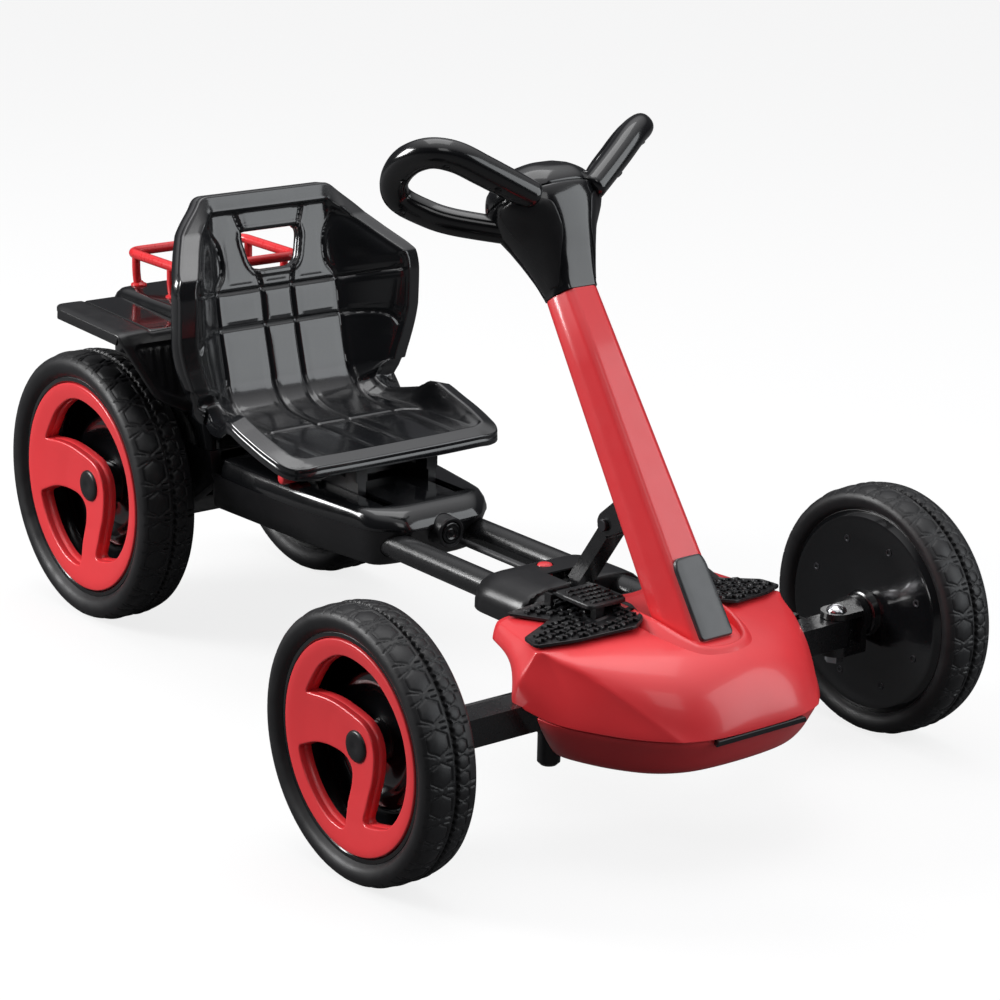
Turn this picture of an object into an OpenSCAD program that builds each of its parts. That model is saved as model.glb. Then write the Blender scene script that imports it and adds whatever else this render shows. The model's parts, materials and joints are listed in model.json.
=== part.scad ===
// Battery ride-on go kart: two-part sliding frame, bucket seat, tilted steering column with loop handles.
// Kart faces -Y, left side is +X, ground is z = 0.

/* [Layout] */
// Distance from front axle to rear axle
wheelbase = 750.4; // [740:1:765]
// Half of the front track, wheel mid-plane to centre line
front_half_track = 317.5; // [312:0.5:325]
// Half of the rear track, wheel mid-plane to centre line
rear_half_track = 147.5; // [146:0.5:150]

/* [Wheels] */
// Outer radius of a front tyre
front_r = 127; // [125:0.5:129]
// Half width of a front tyre
tyre_hw = 28.3; // [27:0.1:29]
// Size of a rear wheel against a front wheel
rear_scale = 1.18; // [1.17:0.005:1.19]
// Radius of the axle steel
axle_r = 6; // [5.5:0.1:6.5]
// Running clearance of a hub on its axle, radial
run_gap = 0.06; // [0.03:0.01:0.09]

/* [Frame] */
// Half spacing of the two frame tubes
tube_x = 49; // [48:0.5:50]
// Height of the frame tubes
tube_z = 172; // [171:0.5:173]
// Outer radius of a frame tube
tube_r = 14; // [13:0.25:14.5]
// Distance from centre line to a kingpin
kingpin_x = 254; // [252:0.5:256]
// Rearward length of a steering arm
arm_r = 58; // [56:0.5:60]

/* [Column] */
// Rake of the steering column from the vertical
rake = 34; // [33:0.25:35]
// Length of the red column above its reference point
column_top = 274; // [270:1:280]
// Radius of the steering shaft
shaft_r = 8; // [7.5:0.25:8.5]

/* [Seat] */
// Lean of the seat back from the vertical
back_lean = 19.6; // [18:0.2:21]
// Wall of the seat moulding
seat_wall = 5; // [4:0.25:6]

/* [Body] */
// Wall of the body mouldings
wall = 3; // [2.5:0.1:3.4]

/* [Hidden] */
nose_y = -166;
yc = (wheelbase + front_r*rear_scale + nose_y)/2;
$fn = 64;
c_y = -37.6;          // point on the steering axis
c_z = 243.1;
RED = [0.86,0.13,0.13]; BLK = [0.07,0.07,0.08]; GRY = [0.2,0.2,0.21]; STEEL = [0.72,0.73,0.75];

module kart() translate([0,-yc,0]) children();
module sides() { children(); mirror([1,0,0]) children(); }
module side(s) { if (s > 0) children(); else mirror([1,0,0]) children(); }
// puts children in the column frame: z up the column, y to its rear face
module on_column() translate([0,c_y,c_z]) rotate([-rake,0,0]) children();
function sym(p) = concat(p, [for (i=[len(p)-1:-1:0]) [-p[i][0], p[i][1]]]);
module slab(p, z, t=0.5) translate([0,0,z]) linear_extrude(t) polygon(p);
module xrod(r, x0, x1, y, z) translate([x0,y,z]) rotate([0,90,0]) cylinder(r=r, h=x1-x0);
module yrod(r, y0, y1, x, z) translate([x,y0,z]) rotate([-90,0,0]) cylinder(r=r, h=y1-y0);
module zrod(r, z0, z1, x, y) translate([x,y,z0]) cylinder(r=r, h=z1-z0);
module box(a, b) translate(a) cube([b[0]-a[0], b[1]-a[1], b[2]-a[2]]);

// ---------- wheels ----------
// wheel frame: axis +X, pointing outboard, origin on the mid-plane
module wheel_at(s, front) {
  if (front) side(s) translate([front_half_track,0,front_r]) rotate([0,90,0]) children();
  else side(s) translate([rear_half_track,wheelbase,front_r*rear_scale]) rotate([0,90,0]) children();
}
module ring(p) rotate_extrude($fn=96) polygon(p);
module tyre(s, front) {
  k = front ? 1 : rear_scale; w = tyre_hw; R = front_r;
  color(BLK) wheel_at(s, front) scale(k) ring([[104.2,-w+6],[111.9,-w+0.8],[116,-w],[R-4,-w+3],[R,-w+11],[R,w-11],[R-4,w-3],[116,w],[111.9,w-0.8],[104.2,w-6]]);
}
// the rim: barrel, web, hub tube and inner disc
module rim(s, front) {
  k = front ? 1 : rear_scale; w = tyre_hw;
  br = (front ? axle_r : 8) + run_gap;
  color(GRY) wheel_at(s, front) difference() {
    union() {
      scale(k) ring([[1,-w+1],[14,-w-4.7],[20,-w-4.7],[24,-w+3.5],[60,-w+2],[98,-w+2],[104,-w+6.5],[104,w-6.5],[100,w-6.5],[100,-w+9],[24,-w+9],[20,-6],[18,8],[1,8]]);
    }
    translate([0,0,-60]) cylinder(r=br, h=120);
  }
}
// outlines of the two swirl windows
swirl_large = [[-34,67.9],[-58.3,51.5],[-71.6,36.4],[-81.2,18.2],[-84.3,-2.3],[-80.8,-25.7],[-73.6,-43.2],[-57.8,-63.7],[-37.6,-78.4],[-17.2,-84.6],[3.3,-85.3],[23.7,-80.6],[41.3,-71.6],[54.6,-59.5],[60.9,-47],[65.3,-31.4],[66.5,-20.5],[63.1,-17.8],[52.9,-19.6],[39.5,-21.9],[25.6,-25.5],[11.4,-27.1],[-0.2,-26.9],[-10.3,-23.9],[-18.2,-18],[-24,-9.2],[-27,2.3],[-29.7,16.2],[-32.2,34.5],[-32.8,49.5],[-32,64.4]];
swirl_small = [[24,78.1],[19.9,70.2],[14.2,58.3],[11.9,46.1],[11.8,30.8],[13.4,20.1],[17.6,11.6],[24.7,6.2],[34.4,5.3],[43.9,6.5],[55.9,8.1],[67.8,8.1],[76.8,8.1],[79.9,11.6],[79.6,21.3],[75.5,35.6],[66.7,50.1],[55.7,61.8],[44.1,70.5],[32.6,76.3]];
// the red cover: dished disc with two swirl windows and its round black cap
module cover(s, front) {
  k = front ? 1 : rear_scale;
  color(RED) wheel_at(s, front) scale(k) {
    difference() {
      ring([[0,13.2],[15,13.2],[40,15],[70,19],[90,22.4],[97,22.6],[98.7,21.4],[98.7,14],[96,14],[96,19],[90,19.6],[70,16.2],[40,12.2],[15,10.4],[0,10.4]]);
      translate([0,0,5]) linear_extrude(30) polygon(swirl_large);
      translate([0,0,5]) linear_extrude(30) polygon(swirl_small);
    }
    translate([0,0,13.25]) cylinder(r1=14.8, r2=13, h=2.6);
  }
}

// ---------- gears ----------
mg = 1.25; zg = 44; zp = 14; pa = 20;
gear_cd = mg*(zg+zp)/2 + 0.12;
// a gear tooth points at a pinion gap
gear_turn = -90 - (360/zg)*round(-90/(360/zg)); pinion_turn = 90 - (360/zp)*(floor(90/(360/zp)) + 0.5);
function inv(a) = tan(a)*180/PI - a;
function tooth(z, rb, rt, half) = [for (i=[0:6]) let(r = rb + (rt-rb)*i/6, a = acos(min(1, rb/r))) [r, half - inv(a)]];
module spur(z, h, turn=0) {
  rp = mg*z/2; rb = rp*cos(pa); rt = rp + 0.8*mg; rr = rp - 1.15*mg;
  half = 90/z + inv(pa) - 0.06*180/PI/rp;
  fl = tooth(z, max(rb, rr), rt, half);
  pts = [for (t=[0:z-1]) let(c = 360*t/z)
    each concat([[rr*cos(c-180/z+0.35*180/z), rr*sin(c-180/z+0.35*180/z)]],
      [for (i=[0:6]) [fl[i][0]*cos(c-fl[i][1]), fl[i][0]*sin(c-fl[i][1])]],
      [for (i=[6:-1:0]) [fl[i][0]*cos(c+fl[i][1]), fl[i][0]*sin(c+fl[i][1])]],
      [[rr*cos(c+180/z-0.35*180/z), rr*sin(c+180/z-0.35*180/z)]])];
  rotate(turn) linear_extrude(h) polygon(pts);
}
module rear_gear(s) color(GRY) side(s) translate([80,wheelbase,front_r*rear_scale]) rotate([0,90,0]) difference() {
  union() { spur(zg, 10, gear_turn); cylinder(r=13, h=28.2); translate([0,0,25]) cylinder(r=18, h=3.2); }
  translate([0,0,-1]) cylinder(r=8+run_gap, h=40);
}

// ---------- rear chassis ----------
az = front_r*rear_scale;   // rear axle height
module main_tubes() color(BLK) sides() difference() {
  yrod(tube_r, 20, 430, tube_x, tube_z); yrod(tube_r-2, 10, 440, tube_x, tube_z); }
module rear_bracket() color(GRY) difference() {
  union() {
    box([-73,436,tube_z-16],[73,440,tube_z+16]);
    sides() box([70,440,tube_z-16],[73,wheelbase+22,tube_z+16]);
    sides() box([70,715,az-18],[73,wheelbase+22,az+20]);
    box([-70,500,tube_z-16],[70,503,tube_z+16]);
    sides() box([70,640,180],[73,725,212]); box([-73,640,209],[73,725,212]);
    sides() yrod(tube_r-2-0.2, 415, 436, tube_x, tube_z);
  }
  xrod(8.02, -90, 90, wheelbase, az);
  xrod(3.2, -90, 90, wheelbase-gear_cd, az);
}
tray_f_top = sym([[46,313],[75,339],[91,440],[96,540],[96,610]]);
tray_f_bot = sym([[40,338],[66,344],[80,440],[86,540],[90,610]]);
module lower_tray() color(BLK) difference() {
  union() {
    hull() { slab(tray_f_top, 189); slab(tray_f_bot, 150); }
    hull() { slab(sym([[98,603.5],[98,806]]), 213); slab(sym([[98,598],[98,806]]), 180); slab(sym([[98,640],[98,800]]), 150); }
    hull() { slab(sym([[98,640],[98,800]]), 150); slab(sym([[98,698],[98,786]]), 112); }
    yrod(16, 302, 330, 0, 184);
  }
  hull() { slab(sym([[43,317],[71,342],[87,440],[92,540],[92,612]]), 190); slab(sym([[36,342],[62,348],[76,440],[82,540],[86,612]]), 153); }
  hull() { slab(sym([[96.6,606.5],[96.6,803]]), 214); slab(sym([[96.6,601]    ,[96.6,803]]), 181); slab(sym([[96.6,643],[96.6,797]]), 150); }
  hull() { slab(sym([[96.6,643],[96.6,797]]), 150.3); slab(sym([[96.6,701],[96.6,783]]), 115); }
  box([-82,560,153],[82,640,189]);
  yrod(11.1, 290, 340, 0, 184);
  yrod(4.2, 300, 360, 22, tube_z-4);
  sides() yrod(tube_r+0.3, 300, 360, tube_x, tube_z);
  sides() box([tube_x-tube_r-0.3,300,140],[tube_x+tube_r+0.3,352,tube_z]);
  sides() xrod(22, 80, 110, wheelbase, az);
}
module body_cover() color(BLK) difference() {
  hull() { slab(sym([[50,311],[79,337],[95,440],[100,540],[100,586]]), 189.8); slab(sym([[46,330],[73,347],[88,440],[92,540],[92,586]]), 209.5); }
  hull() { slab(sym([[47,315],[75.5,340],[92,440],[97,540],[97,583]]), 189); slab(sym([[43,334],[70,350],[85,440],[89,540],[89,583]]), 206); }
  yrod(16.4, 290, 345, 0, 184);
  sides() box([38.5,347,200],[51.5,497,212]);
}
module fender_deck() color(BLK) difference() {
  union() {
    hull() { slab(sym([[100,640],[100,806]]), 345); slab(sym([[92,650],[92,800]]), 357.5); }
    hull() { slab(sym([[100,604],[100,806]]), 214.2); slab(sym([[100,640],[100,806]]), 345); }
    sides() hull() { slab([[99,638],[185,638],[185,642],[99,642]], 342, 3); slab([[99,790],[185,786],[185,788],[99,791]], 346, 4); }
    sides() hull() { slab([[99,638.4],[185,638.4],[185,642],[99,642]], 342, 3); slab([[99,622],[151,622],[151,626],[99,626]], 275); slab([[99,618.5],[119,618.5],[119,622.5],[99,622.5]], 262); }
    sides() hull() { box([182,640,334],[185,644,345]); box([182,784,340],[185,787,349]); }
  }
  hull() { slab(sym([[97,644],[97,803]]), 343); slab(sym([[89,654],[89,797]]), 354); }
  hull() { slab(sym([[97,608],[97,803]]), 213.5); slab(sym([[97,644],[97,803]]), 345); }
  on_back(44) linear_extrude(140) translate([-155,-60]) square([310,185]);
}
module luggage_rack() color(RED) {
  hw = 74; y0 = 690; y1 = 805; z = 393; r = 5.5;
  sides() yrod(r, y0, y1, hw, z);
  xrod(r, -hw, hw, y1, z); xrod(r, -hw, hw, y0, z);
  sides() for (p=[[hw,y0],[hw,y1]]) translate([p[0],p[1],z]) sphere(r=r);
  sides() for (y=[717,790]) zrod(r-0.5, 358.2, z, hw, y);
}
module rear_axle() color(STEEL) xrod(8, -rear_half_track-11.9, rear_half_track+11.9, wheelbase, az);
module rear_axle_nuts() color(STEEL) sides() translate([rear_half_track+9.7,wheelbase,az]) rotate([0,90,0]) difference() { cylinder(r=13, h=1.9); translate([0,0,-1]) cylinder(r=8.03, h=5); }
module battery() color(GRY) { box([-75.5,650,212.2],[75.5,715,306]); sides() box([55,660,305],[67,668,312]); }
module control_module() color(BLK) { box([-45,520,160],[45,590,185]); for (x=[-30,0,30]) box([x-8,590,165],[x+8,600,180]); }
module gearboxes() color(GRY) sides() difference() {
  union() { xrod(33, 74, 96, wheelbase, az); xrod(16, 74, 96, wheelbase-gear_cd, az); }
  xrod(30, 77, 93, wheelbase, az);
  xrod(12.5, 77, 93, wheelbase-gear_cd, az);
  xrod(8.02, 70, 80, wheelbase, az);
  xrod(15, 90, 100, wheelbase, az);
  xrod(3.2, 70, 80, wheelbase-gear_cd, az);
}
module drive_motors() color(STEEL) sides() difference() {
  union() { xrod(18, 22, 69.8, wheelbase-gear_cd, az); xrod(7, 16, 22, wheelbase-gear_cd, az); }
  xrod(2.56, 30, 80, wheelbase-gear_cd, az);
}
module pinion(s) color(STEEL) side(s) translate([0,wheelbase-gear_cd,az]) rotate([0,90,0]) {
  translate([0,0,80]) spur(zp, 10, pinion_turn);
  translate([0,0,31]) cylinder(r=2.5, h=60);
}
module wiring_harness() color(BLK) {
  yrod(3.5, 30, 428, 22, tube_z-4);
  translate([22,428,tube_z-4]) sphere(r=3.5);
}
module power_button() color(BLK) difference() { yrod(11, 298, 318, 0, 184); translate([0,290,184]) rotate([-90,0,0]) cylinder(r=8, h=9); }

// ---------- seat ----------
seat_back = sym([[30,234],[85,234],[113,207],[154,152],[154,85],[148,60],[120,0],[118,-20]]);
seat_in = sym([[28,226],[81,226],[108,201],[148,148],[148,85],[142,62],[112,0],[110,-18]]);
module on_back(d) translate([0,561,259]) rotate([90-back_lean,0,0]) translate([0,0,-d]) children();
module seat_shell() color(BLK) difference() {
  union() {
    hull() { on_back(0) linear_extrude(1) polygon(seat_back); on_back(27) linear_extrude(1) polygon(sym([[30,210],[78,205],[120,140],[120,20],[100,-12]]));
      on_back(-42) linear_extrude(1) polygon(sym([[153,151],[153,138]])); on_back(-21) linear_extrude(1) polygon(sym([[153,90],[152,80]])); }
    hull() { slab(sym([[120,386],[136,394],[141,495],[118,572]]), 252); slab(sym([[140,486],[140,502]]), 272); slab(sym([[84,402],[110,410],[118,520],[100,578]]), 240.2); }
  }
  hull() { on_back(-60) linear_extrude(60) polygon(seat_in); on_back(27-seat_wall) linear_extrude(1) polygon(sym([[26,204],[74,200],[114,136],[114,20],[94,-10]])); }
  hull() { slab(sym([[112,396],[128,402],[133,495],[112,578]]), 254, 36); slab(sym([[80,408],[104,416],[112,520],[96,574]]), 240.2+seat_wall); }
  on_back(60) linear_extrude(80) polygon(sym([[34,192],[38,180],[26,150]]));
}
module seat_bracket() color(BLK) difference() {
  union() { sides() { box([40,396,204],[50,490,222.6]); box([38,396,222],[52,416,239.9]); box([38,452,222],[52,484,239.9]); } box([-41,440,214],[41,460,222.6]); box([-57,459,212],[-40,464,222.6]); }
  sides() for (y=[406,472]) zrod(2.6, 200, 245, 45, y);
}
module seat_screws() color(STEEL) sides() for (y=[406,472]) { zrod(2.5, 201.9, 240, 45, y); zrod(4.6, 199.9, 203.9, 45, y); }
module seat_lock_knob() color(RED) { xrod(6, -84, -76, 468, 216.6); xrod(3, -76, -62, 468, 216.6); }

// ---------- front chassis ----------
module slide_sleeves() color(BLK) sides() difference() { yrod(16, 30, 156, tube_x, tube_z); yrod(tube_r+run_gap, 20, 180, tube_x, tube_z); }
module front_bracket() color(GRY) difference() {
  union() {
    box([-70,26,tube_z-22],[70,29.8,tube_z+12]);
    box([-70,-8,150],[-66,29.8,155]); box([66,-8,150],[70,29.8,155]);
    sides() { box([66,-14,130.2],[70,14,152]); }
    box([-70,18,150],[70,29.8,154]);
    sides() box([33.15,-106,154],[34.75,29.8,188]);
    sides() box([12,29.8,174],[15,118,186]);
    sides() box([12,26,174],[15,30,186]);
    box([-26,26,174],[26,29.8,196]);
  }
  sides() yrod(tube_r+0.5, 10, 40, tube_x, tube_z);
  xrod(3.05, -30, 30, 103, 180);
  yrod(5, 0, 60, 22, tube_z-4);
}
module clamp_cover() color(GRY) difference() {
  hull() { slab(sym([[75,92],[76,110],[76,168],[70,176]]), 157); slab(sym([[70,90],[72,110],[72,164],[62,177]]), 180); slab(sym([[50,92],[50,160]]), 191.5); }
  hull() { slab(sym([[72,80],[73,110],[73,165],[67,172.5]]), 156); slab(sym([[70,80],[70.5,110],[70.5,162],[61.5,173.5]]), 180); slab(sym([[49.5,80],[49.5,157]]), 190); }
  zrod(8.3, 170, 200, 0, 150);
  sides() yrod(tube_r+0.4, 150, 190, tube_x, tube_z);
  sides() box([tube_x-tube_r-0.4,150,150],[tube_x+tube_r+0.4,190,tube_z]);
  box([-16,80,150],[16,126,200]);
  yrod(4.5, 150, 190, 22, tube_z-4);
}
module frame_lock_button() color(RED) { zrod(8, 180, 193, 0, 150); }
module axle_beam() color(BLK) difference() {
  union() { box([-kingpin_x+2,-15,102],[kingpin_x-2,15,130]); sides() zrod(15, 102, 130, kingpin_x, 0); }
  sides() zrod(5.02, 90, 140, kingpin_x, 0);
  box([-kingpin_x+24,-12.5,104.5],[kingpin_x-24,12.5,127.5]);
}
module kingpin_bolts() color(STEEL) sides() translate([kingpin_x,0,0]) {
  zrod(5, 88, 138, 0, 0);
  intersection() { translate([0,0,131]) sphere(r=12); zrod(10, 137.6, 150, 0, 0); }
  translate([0,0,83.5]) cylinder(r=9.5, h=8, $fn=6);
}
module bump_feet() color(BLK) sides() { zrod(11, 62, 101.8, 112, 0); zrod(12.5, 92, 101.8, 112, 0); translate([112,0,59]) cylinder(r1=8, r2=11, h=3.1); }
plan_low = sym([[10,-166],[52,-165],[83,-153],[117,-122],[145,-84],[152,-57],[150,20]]);
plan_mid = sym([[10,-150],[50,-148],[95,-128],[140,-92],[163,-50],[159,-6],[137,55]]);
plan_top = sym([[20,-112],[46,-104],[50,-30],[50,56]]);
module shell_outer(d=0) {
  hull() {
    slab([for (p=plan_low) [p[0]*(1-d/150), p[1]+(p[1]<0 ? d : -d*1.2)]], 122.3-d*0.3);
    slab([for (p=plan_mid) [p[0]*(1-d/150), p[1]+(p[1]<0 ? d : -d*1.2)]], 181.5-d);
    slab([for (p=plan_top) [p[0]*(1-d/150), p[1]+(p[1]<0 ? d : -d*1.2)]], 199.5-d);
  }
}
module shell_upper() color(RED) difference() {
  shell_outer();
  difference() { translate([0,0,-0.6]) shell_outer(wall); }
  translate([0,0,-1]) slab([for (p=plan_low) [p[0]*0.975, p[1]+(p[1]<0 ? wall : -wall)]], 121, 4);
  box([-200,-18,90],[200,40,131]);
  on_column() translate([0,0,-120]) linear_extrude(400) polygon(sym([[27,-31],[37,0],[37,30],[28,36]]));
  sides() yrod(18.5, -60, 80, tube_x, tube_z);
  box([-30,10,140],[30,60,186]);
  box([-72,16,120],[72,60,176]);
  box([-80,-22,186],[-63,-8,215]);
}
module shell_lower() color(RED) difference() {
  hull() { slab(sym([[10,-165],[52,-164],[83,-152],[117,-121],[144,-84],[151,-57],[149,-22]]), 121.6); slab(sym([[10,-141],[62,-138],[96,-110],[120,-82],[132,-50],[128,-32]]), 82); }
  hull() { slab(sym([[10,-161],[50,-160],[81,-149],[113,-119],[140,-83],[147,-57],[145,-19]]), 122.2); slab(sym([[10,-137],[60,-134],[93,-108],[116,-80],[128,-50],[124,-28]]), 85); }
  translate([0,0,117]) linear_extrude(10) polygon([[-57,-170],[57,-170],[53,-158],[-53,-158]]);
}
module bumper_strip() color(BLK) difference() {
  translate([0,0,117.2]) linear_extrude(4.6) polygon([[-54,-165.6],[54,-165.6],[52,-160.4],[-52,-160.4]]);
}
pad_tilt = 7.4;
module pad_plan() polygon([[34,12],[34,44],[124,54],[106,12],[146,-2],[150,-24],[118,-42],[62,-60],[44,-50],[32,-18]]);
module pad_plate(t, dz=0) translate([50,0,200.25+dz]) rotate([0,pad_tilt,0]) translate([-50,0,0]) linear_extrude(t) intersection() { pad_plan(); translate([34,-70]) square([140,140]); }
module foot_pad_left() color(GRY) pad_plate(3);
module foot_pad_right() color(GRY) mirror([1,0,0]) difference() {
  union() { pad_plate(3); box([36.5,29,201],[40,39,212]); box([86.5,29,198],[90,39,212]); }
  xrod(2.56, 30, 100, 34, 208);
  box([63.5,-21,190],[78.5,-9,215]);
}
module accelerator_pedal() color(GRY) mirror([1,0,0]) difference() {
  union() {
    box([40.5,-22,210.5],[86,30,214.5]);
    xrod(3.3, 41.5, 85, 34, 208); box([41.5,28,207],[85,34,212]);
    xrod(2.5, 37, 89.5, 34, 208);
    box([65.5,-19,184],[76.5,-11,211]);
    for (x=[46,58,70]) for (y=[-14,0,14]) box([x,y,214],[x+9,y+4,216.5]);
  }
}
module pedal_switch() color(BLK) mirror([1,0,0]) box([65,-24,166],[77,-6,176]);
// column section at height z, drawn in by d; the column narrows upward
function csec(z, d) = let(t = (z+80)/(column_top+80)) sym([for (i=[0:3]) (1-t)*[[23-d,-21+d*0.9],[33-d,2],[33-d,18-d*0.4],[25-d,27-d]][i] + t*[[17-d,-15+d*0.9],[24.5-d,0],[25.5-d,12-d*0.4],[20-d,20-d]][i]]);
module taper(z0, z1, d) hull() { slab(csec(z0,d), z0, 0.1); slab(csec(z1-0.1,d), z1-0.1, 0.1); }
module column() color(RED) on_column() difference() {
  union() { taper(-80, column_top, 0); sides() box([11.8,22.5,52],[15,66,72]); }
  taper(-93, column_top+1, 3.5);
  translate([0,57.2,62]) xrod(3.05, -30, 30, 0, 0);
}
module column_panel() color(BLK) on_column() difference() {
  hull() { box([-20,-22.8,-78],[20,-18.6,-70]); box([-18,-21.4,-4],[18,-17,0]); box([-16,-25.2,-74],[16,-24.6,-70]); box([-15,-23.8,-8],[15,-23.2,-4]); }
  taper(-80, column_top, -0.1);
}
module column_bushes() color(GRY) on_column() for (z=[-72,230]) difference() {
  taper(z, z+16, 3.8);
  translate([0,0,z-1]) cylinder(r=shaft_r+run_gap, h=20);
}
s0 = [0,103,180]; s1 = [0, c_y+57.2*cos(rake)+62*sin(rake), c_z-57.2*sin(rake)+62*cos(rake)];
s_len = norm(s1-s0); s_ang = atan2(s0[1]-s1[1], s1[2]-s0[2]);
module strut() color(BLK) translate(s0) rotate([s_ang,0,0]) difference() {
  union() { translate([-11,-7.5,14]) cube([22,15,s_len-26]); translate([-8,-7,0]) cube([16,14,s_len]); xrod(8, -11.6, 11.6, 0, 0); xrod(8, -11.6, 11.6, 0, s_len); }
  xrod(3.05, -30, 30, 0, 0); xrod(3.05, -30, 30, 0, s_len);
}
module strut_bolts() color(STEEL) {
  for (p=[s0,s1]) translate([0,p[1],p[2]]) { xrod(3, -19, 19, 0, 0); xrod(6, 15.2, 19, 0, 0); xrod(6, -19, -15.2, 0, 0); }
}

// ---------- steering ----------
module head_outer(d=0) hull() {
  translate([0,0,column_top+0.6-d*0.2]) linear_extrude(1) polygon(sym([[18-d,-16+d],[25.5-d,0],[26.5-d,12-d*0.5],[21-d,21-d]]));
  translate([0,0,column_top+50]) linear_extrude(8) polygon(sym([[23-d,-33+d],[38-d,-15+d],[43-d,10],[35-d,30-d]]));
  translate([0,0,column_top+80]) linear_extrude(12) polygon(sym([[30-d,-41+d],[50-d,-23+d],[55-d,8],[43-d,36-d]]));
  translate([0,0,column_top+115-d]) linear_extrude(1) polygon(sym([[26-d,-33+d],[43-d,-13],[38-d,28-d]]));
  translate([0,0,column_top+128-d]) linear_extrude(1) polygon(sym([[16-d*0.5,-16+d*0.5],[16-d*0.5,14-d*0.5]]));
}
// loop centre line in the column frame, z above the column's top
loop = [[36,-31,89],[82,-34,120],[118,-30,142],[134,-8,149],[135,18,148],[124,47,134],[92,42,109],[44,17,75]];
module loop_rod(r, n=7) translate([0,0,column_top]) for (i=[0:n-1]) hull() { translate(loop[i]) sphere(r=r, $fn=20); translate(loop[i+1]) sphere(r=r, $fn=20); }
module loop_ends(r) translate([0,0,column_top]) for (i=[0,6]) hull() { translate(loop[i]) sphere(r=r, $fn=20); translate(loop[i+1]) sphere(r=r, $fn=20); }
module head_shell() color(BLK) on_column() difference() {
  head_outer();
  difference() { head_outer(4); translate([-80,-80,column_top]) cube([160,160,5]); }
  translate([0,0,column_top-1]) linear_extrude(8) circle(r=11);
  sides() loop_ends(13.8);
}
module handle_loops() color(BLK) sides() on_column() difference() { loop_rod(13); head_outer(3.6); }
module handle_core() color(GRY) on_column() difference() {
  union() { translate([-22,-14,column_top+56]) cube([44,30,30]); translate([0,0,column_top+40]) cylinder(r=15, h=46); }
  translate([0,0,column_top+30]) cylinder(r=shaft_r+0.02, h=60);
}
module steering_shaft() color(STEEL) on_column() {
  translate([0,0,-90]) cylinder(r=shaft_r, h=column_top+90+80);
  hull() { translate([0,0,-90]) cylinder(r=12, h=6, $fn=32); translate([0,42,-90]) cylinder(r=6.5, h=6, $fn=32); }
  translate([0,42,-98]) cylinder(r=3.5, h=9);
  translate([0,42,-98]) sphere(r=5, $fn=48);
}
module tie_rod() color(STEEL) difference() {
  union() {
    xrod(5, -kingpin_x+16, kingpin_x-16, arm_r, 106);
    sides() box([kingpin_x-18,arm_r-14,101],[kingpin_x+10,arm_r+14,111]);
    box([-12,-70,133.5],[12,arm_r+4,137]);
    box([-12,-76,133.5],[12,-38,140.8]);
    box([-12,arm_r-4,101],[12,arm_r+4,137]);
  }
  sides() box([kingpin_x-4.8,arm_r-11,95],[kingpin_x+4.8,arm_r+11,120]);
  box([-5.9,-71,120],[5.9,-43,160]);
}
module knuckle(s) color(GRY) side(s) translate([kingpin_x,0,0]) difference() {
  union() {
    zrod(16, 130.6, 136.8, 0, 0); box([0,-16,130.6],[26,16,136.8]);
    zrod(16, 92, 101.4, 0, 0);   box([0,-16,92],[26,16,101.4]);
    box([20.5,-16,92],[28,16,136.8]);
    xrod(20, 20.5, 29.5, 0, 127);
    box([-8,0,94],[8,arm_r,100]); zrod(8, 94, 100, 0, arm_r);
    zrod(4, 99, 116, 0, arm_r);
    xrod(axle_r, 24, front_half_track-kingpin_x+10, 0, front_r);
    xrod(12, front_half_track-kingpin_x+8.3, front_half_track-kingpin_x+9.8, 0, front_r);
  }
  zrod(5+run_gap, 80, 150, 0, 0);
}

kart() main_tubes();
kart() rear_bracket();
kart() lower_tray();
kart() body_cover();
kart() fender_deck();
kart() luggage_rack();
kart() rear_axle();
kart() rear_axle_nuts();
kart() battery();
kart() control_module();
kart() gearboxes();
kart() drive_motors();
kart() wiring_harness();
kart() power_button();
kart() seat_shell();
kart() seat_bracket();
kart() seat_screws();
kart() seat_lock_knob();
kart() slide_sleeves();
kart() front_bracket();
kart() clamp_cover();
kart() frame_lock_button();
kart() axle_beam();
kart() kingpin_bolts();
kart() bump_feet();
kart() shell_upper();
kart() shell_lower();
kart() bumper_strip();
kart() foot_pad_right();
kart() foot_pad_left();
kart() accelerator_pedal();
kart() pedal_switch();
kart() column();
kart() column_panel();
kart() column_bushes();
kart() strut();
kart() strut_bolts();
kart() head_shell();
kart() handle_core();
kart() handle_loops();
kart() steering_shaft();
kart() tie_rod();
kart() knuckle(-1);  // knuckle_right
kart() knuckle(1);  // knuckle_left
kart() tyre(-1, true);  // front_tyre_right
kart() tyre(1, true);  // front_tyre_left
kart() rim(-1, true);  // front_rim_right
kart() rim(1, true);  // front_rim_left
kart() cover(-1, true);  // front_cover_right
kart() cover(1, true);  // front_cover_left
kart() tyre(-1, false);  // rear_tyre_right
kart() tyre(1, false);  // rear_tyre_left
kart() rim(-1, false);  // rear_rim_right
kart() rim(1, false);  // rear_rim_left
kart() cover(-1, false);  // rear_cover_right
kart() cover(1, false);  // rear_cover_left
kart() rear_gear(-1);  // drive_gear_right
kart() rear_gear(1);  // drive_gear_left
kart() pinion(-1);  // motor_pinion_right
kart() pinion(1);  // motor_pinion_left
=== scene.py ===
# A four-wheeled ride-on electric kart: bucket seat, raked steering column with looped
# handles, foot rests, and a sliding frame that joins a front and a rear body.
# Sizes are in mm with the front axle at y = 0 and the floor at z = 0. The front faces -y,
# the kart's left is +x and z is up. metres() takes them to the scene.
import json
import math

import bmesh
import bpy
import numpy as np
from mathutils import Matrix, Vector

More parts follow.
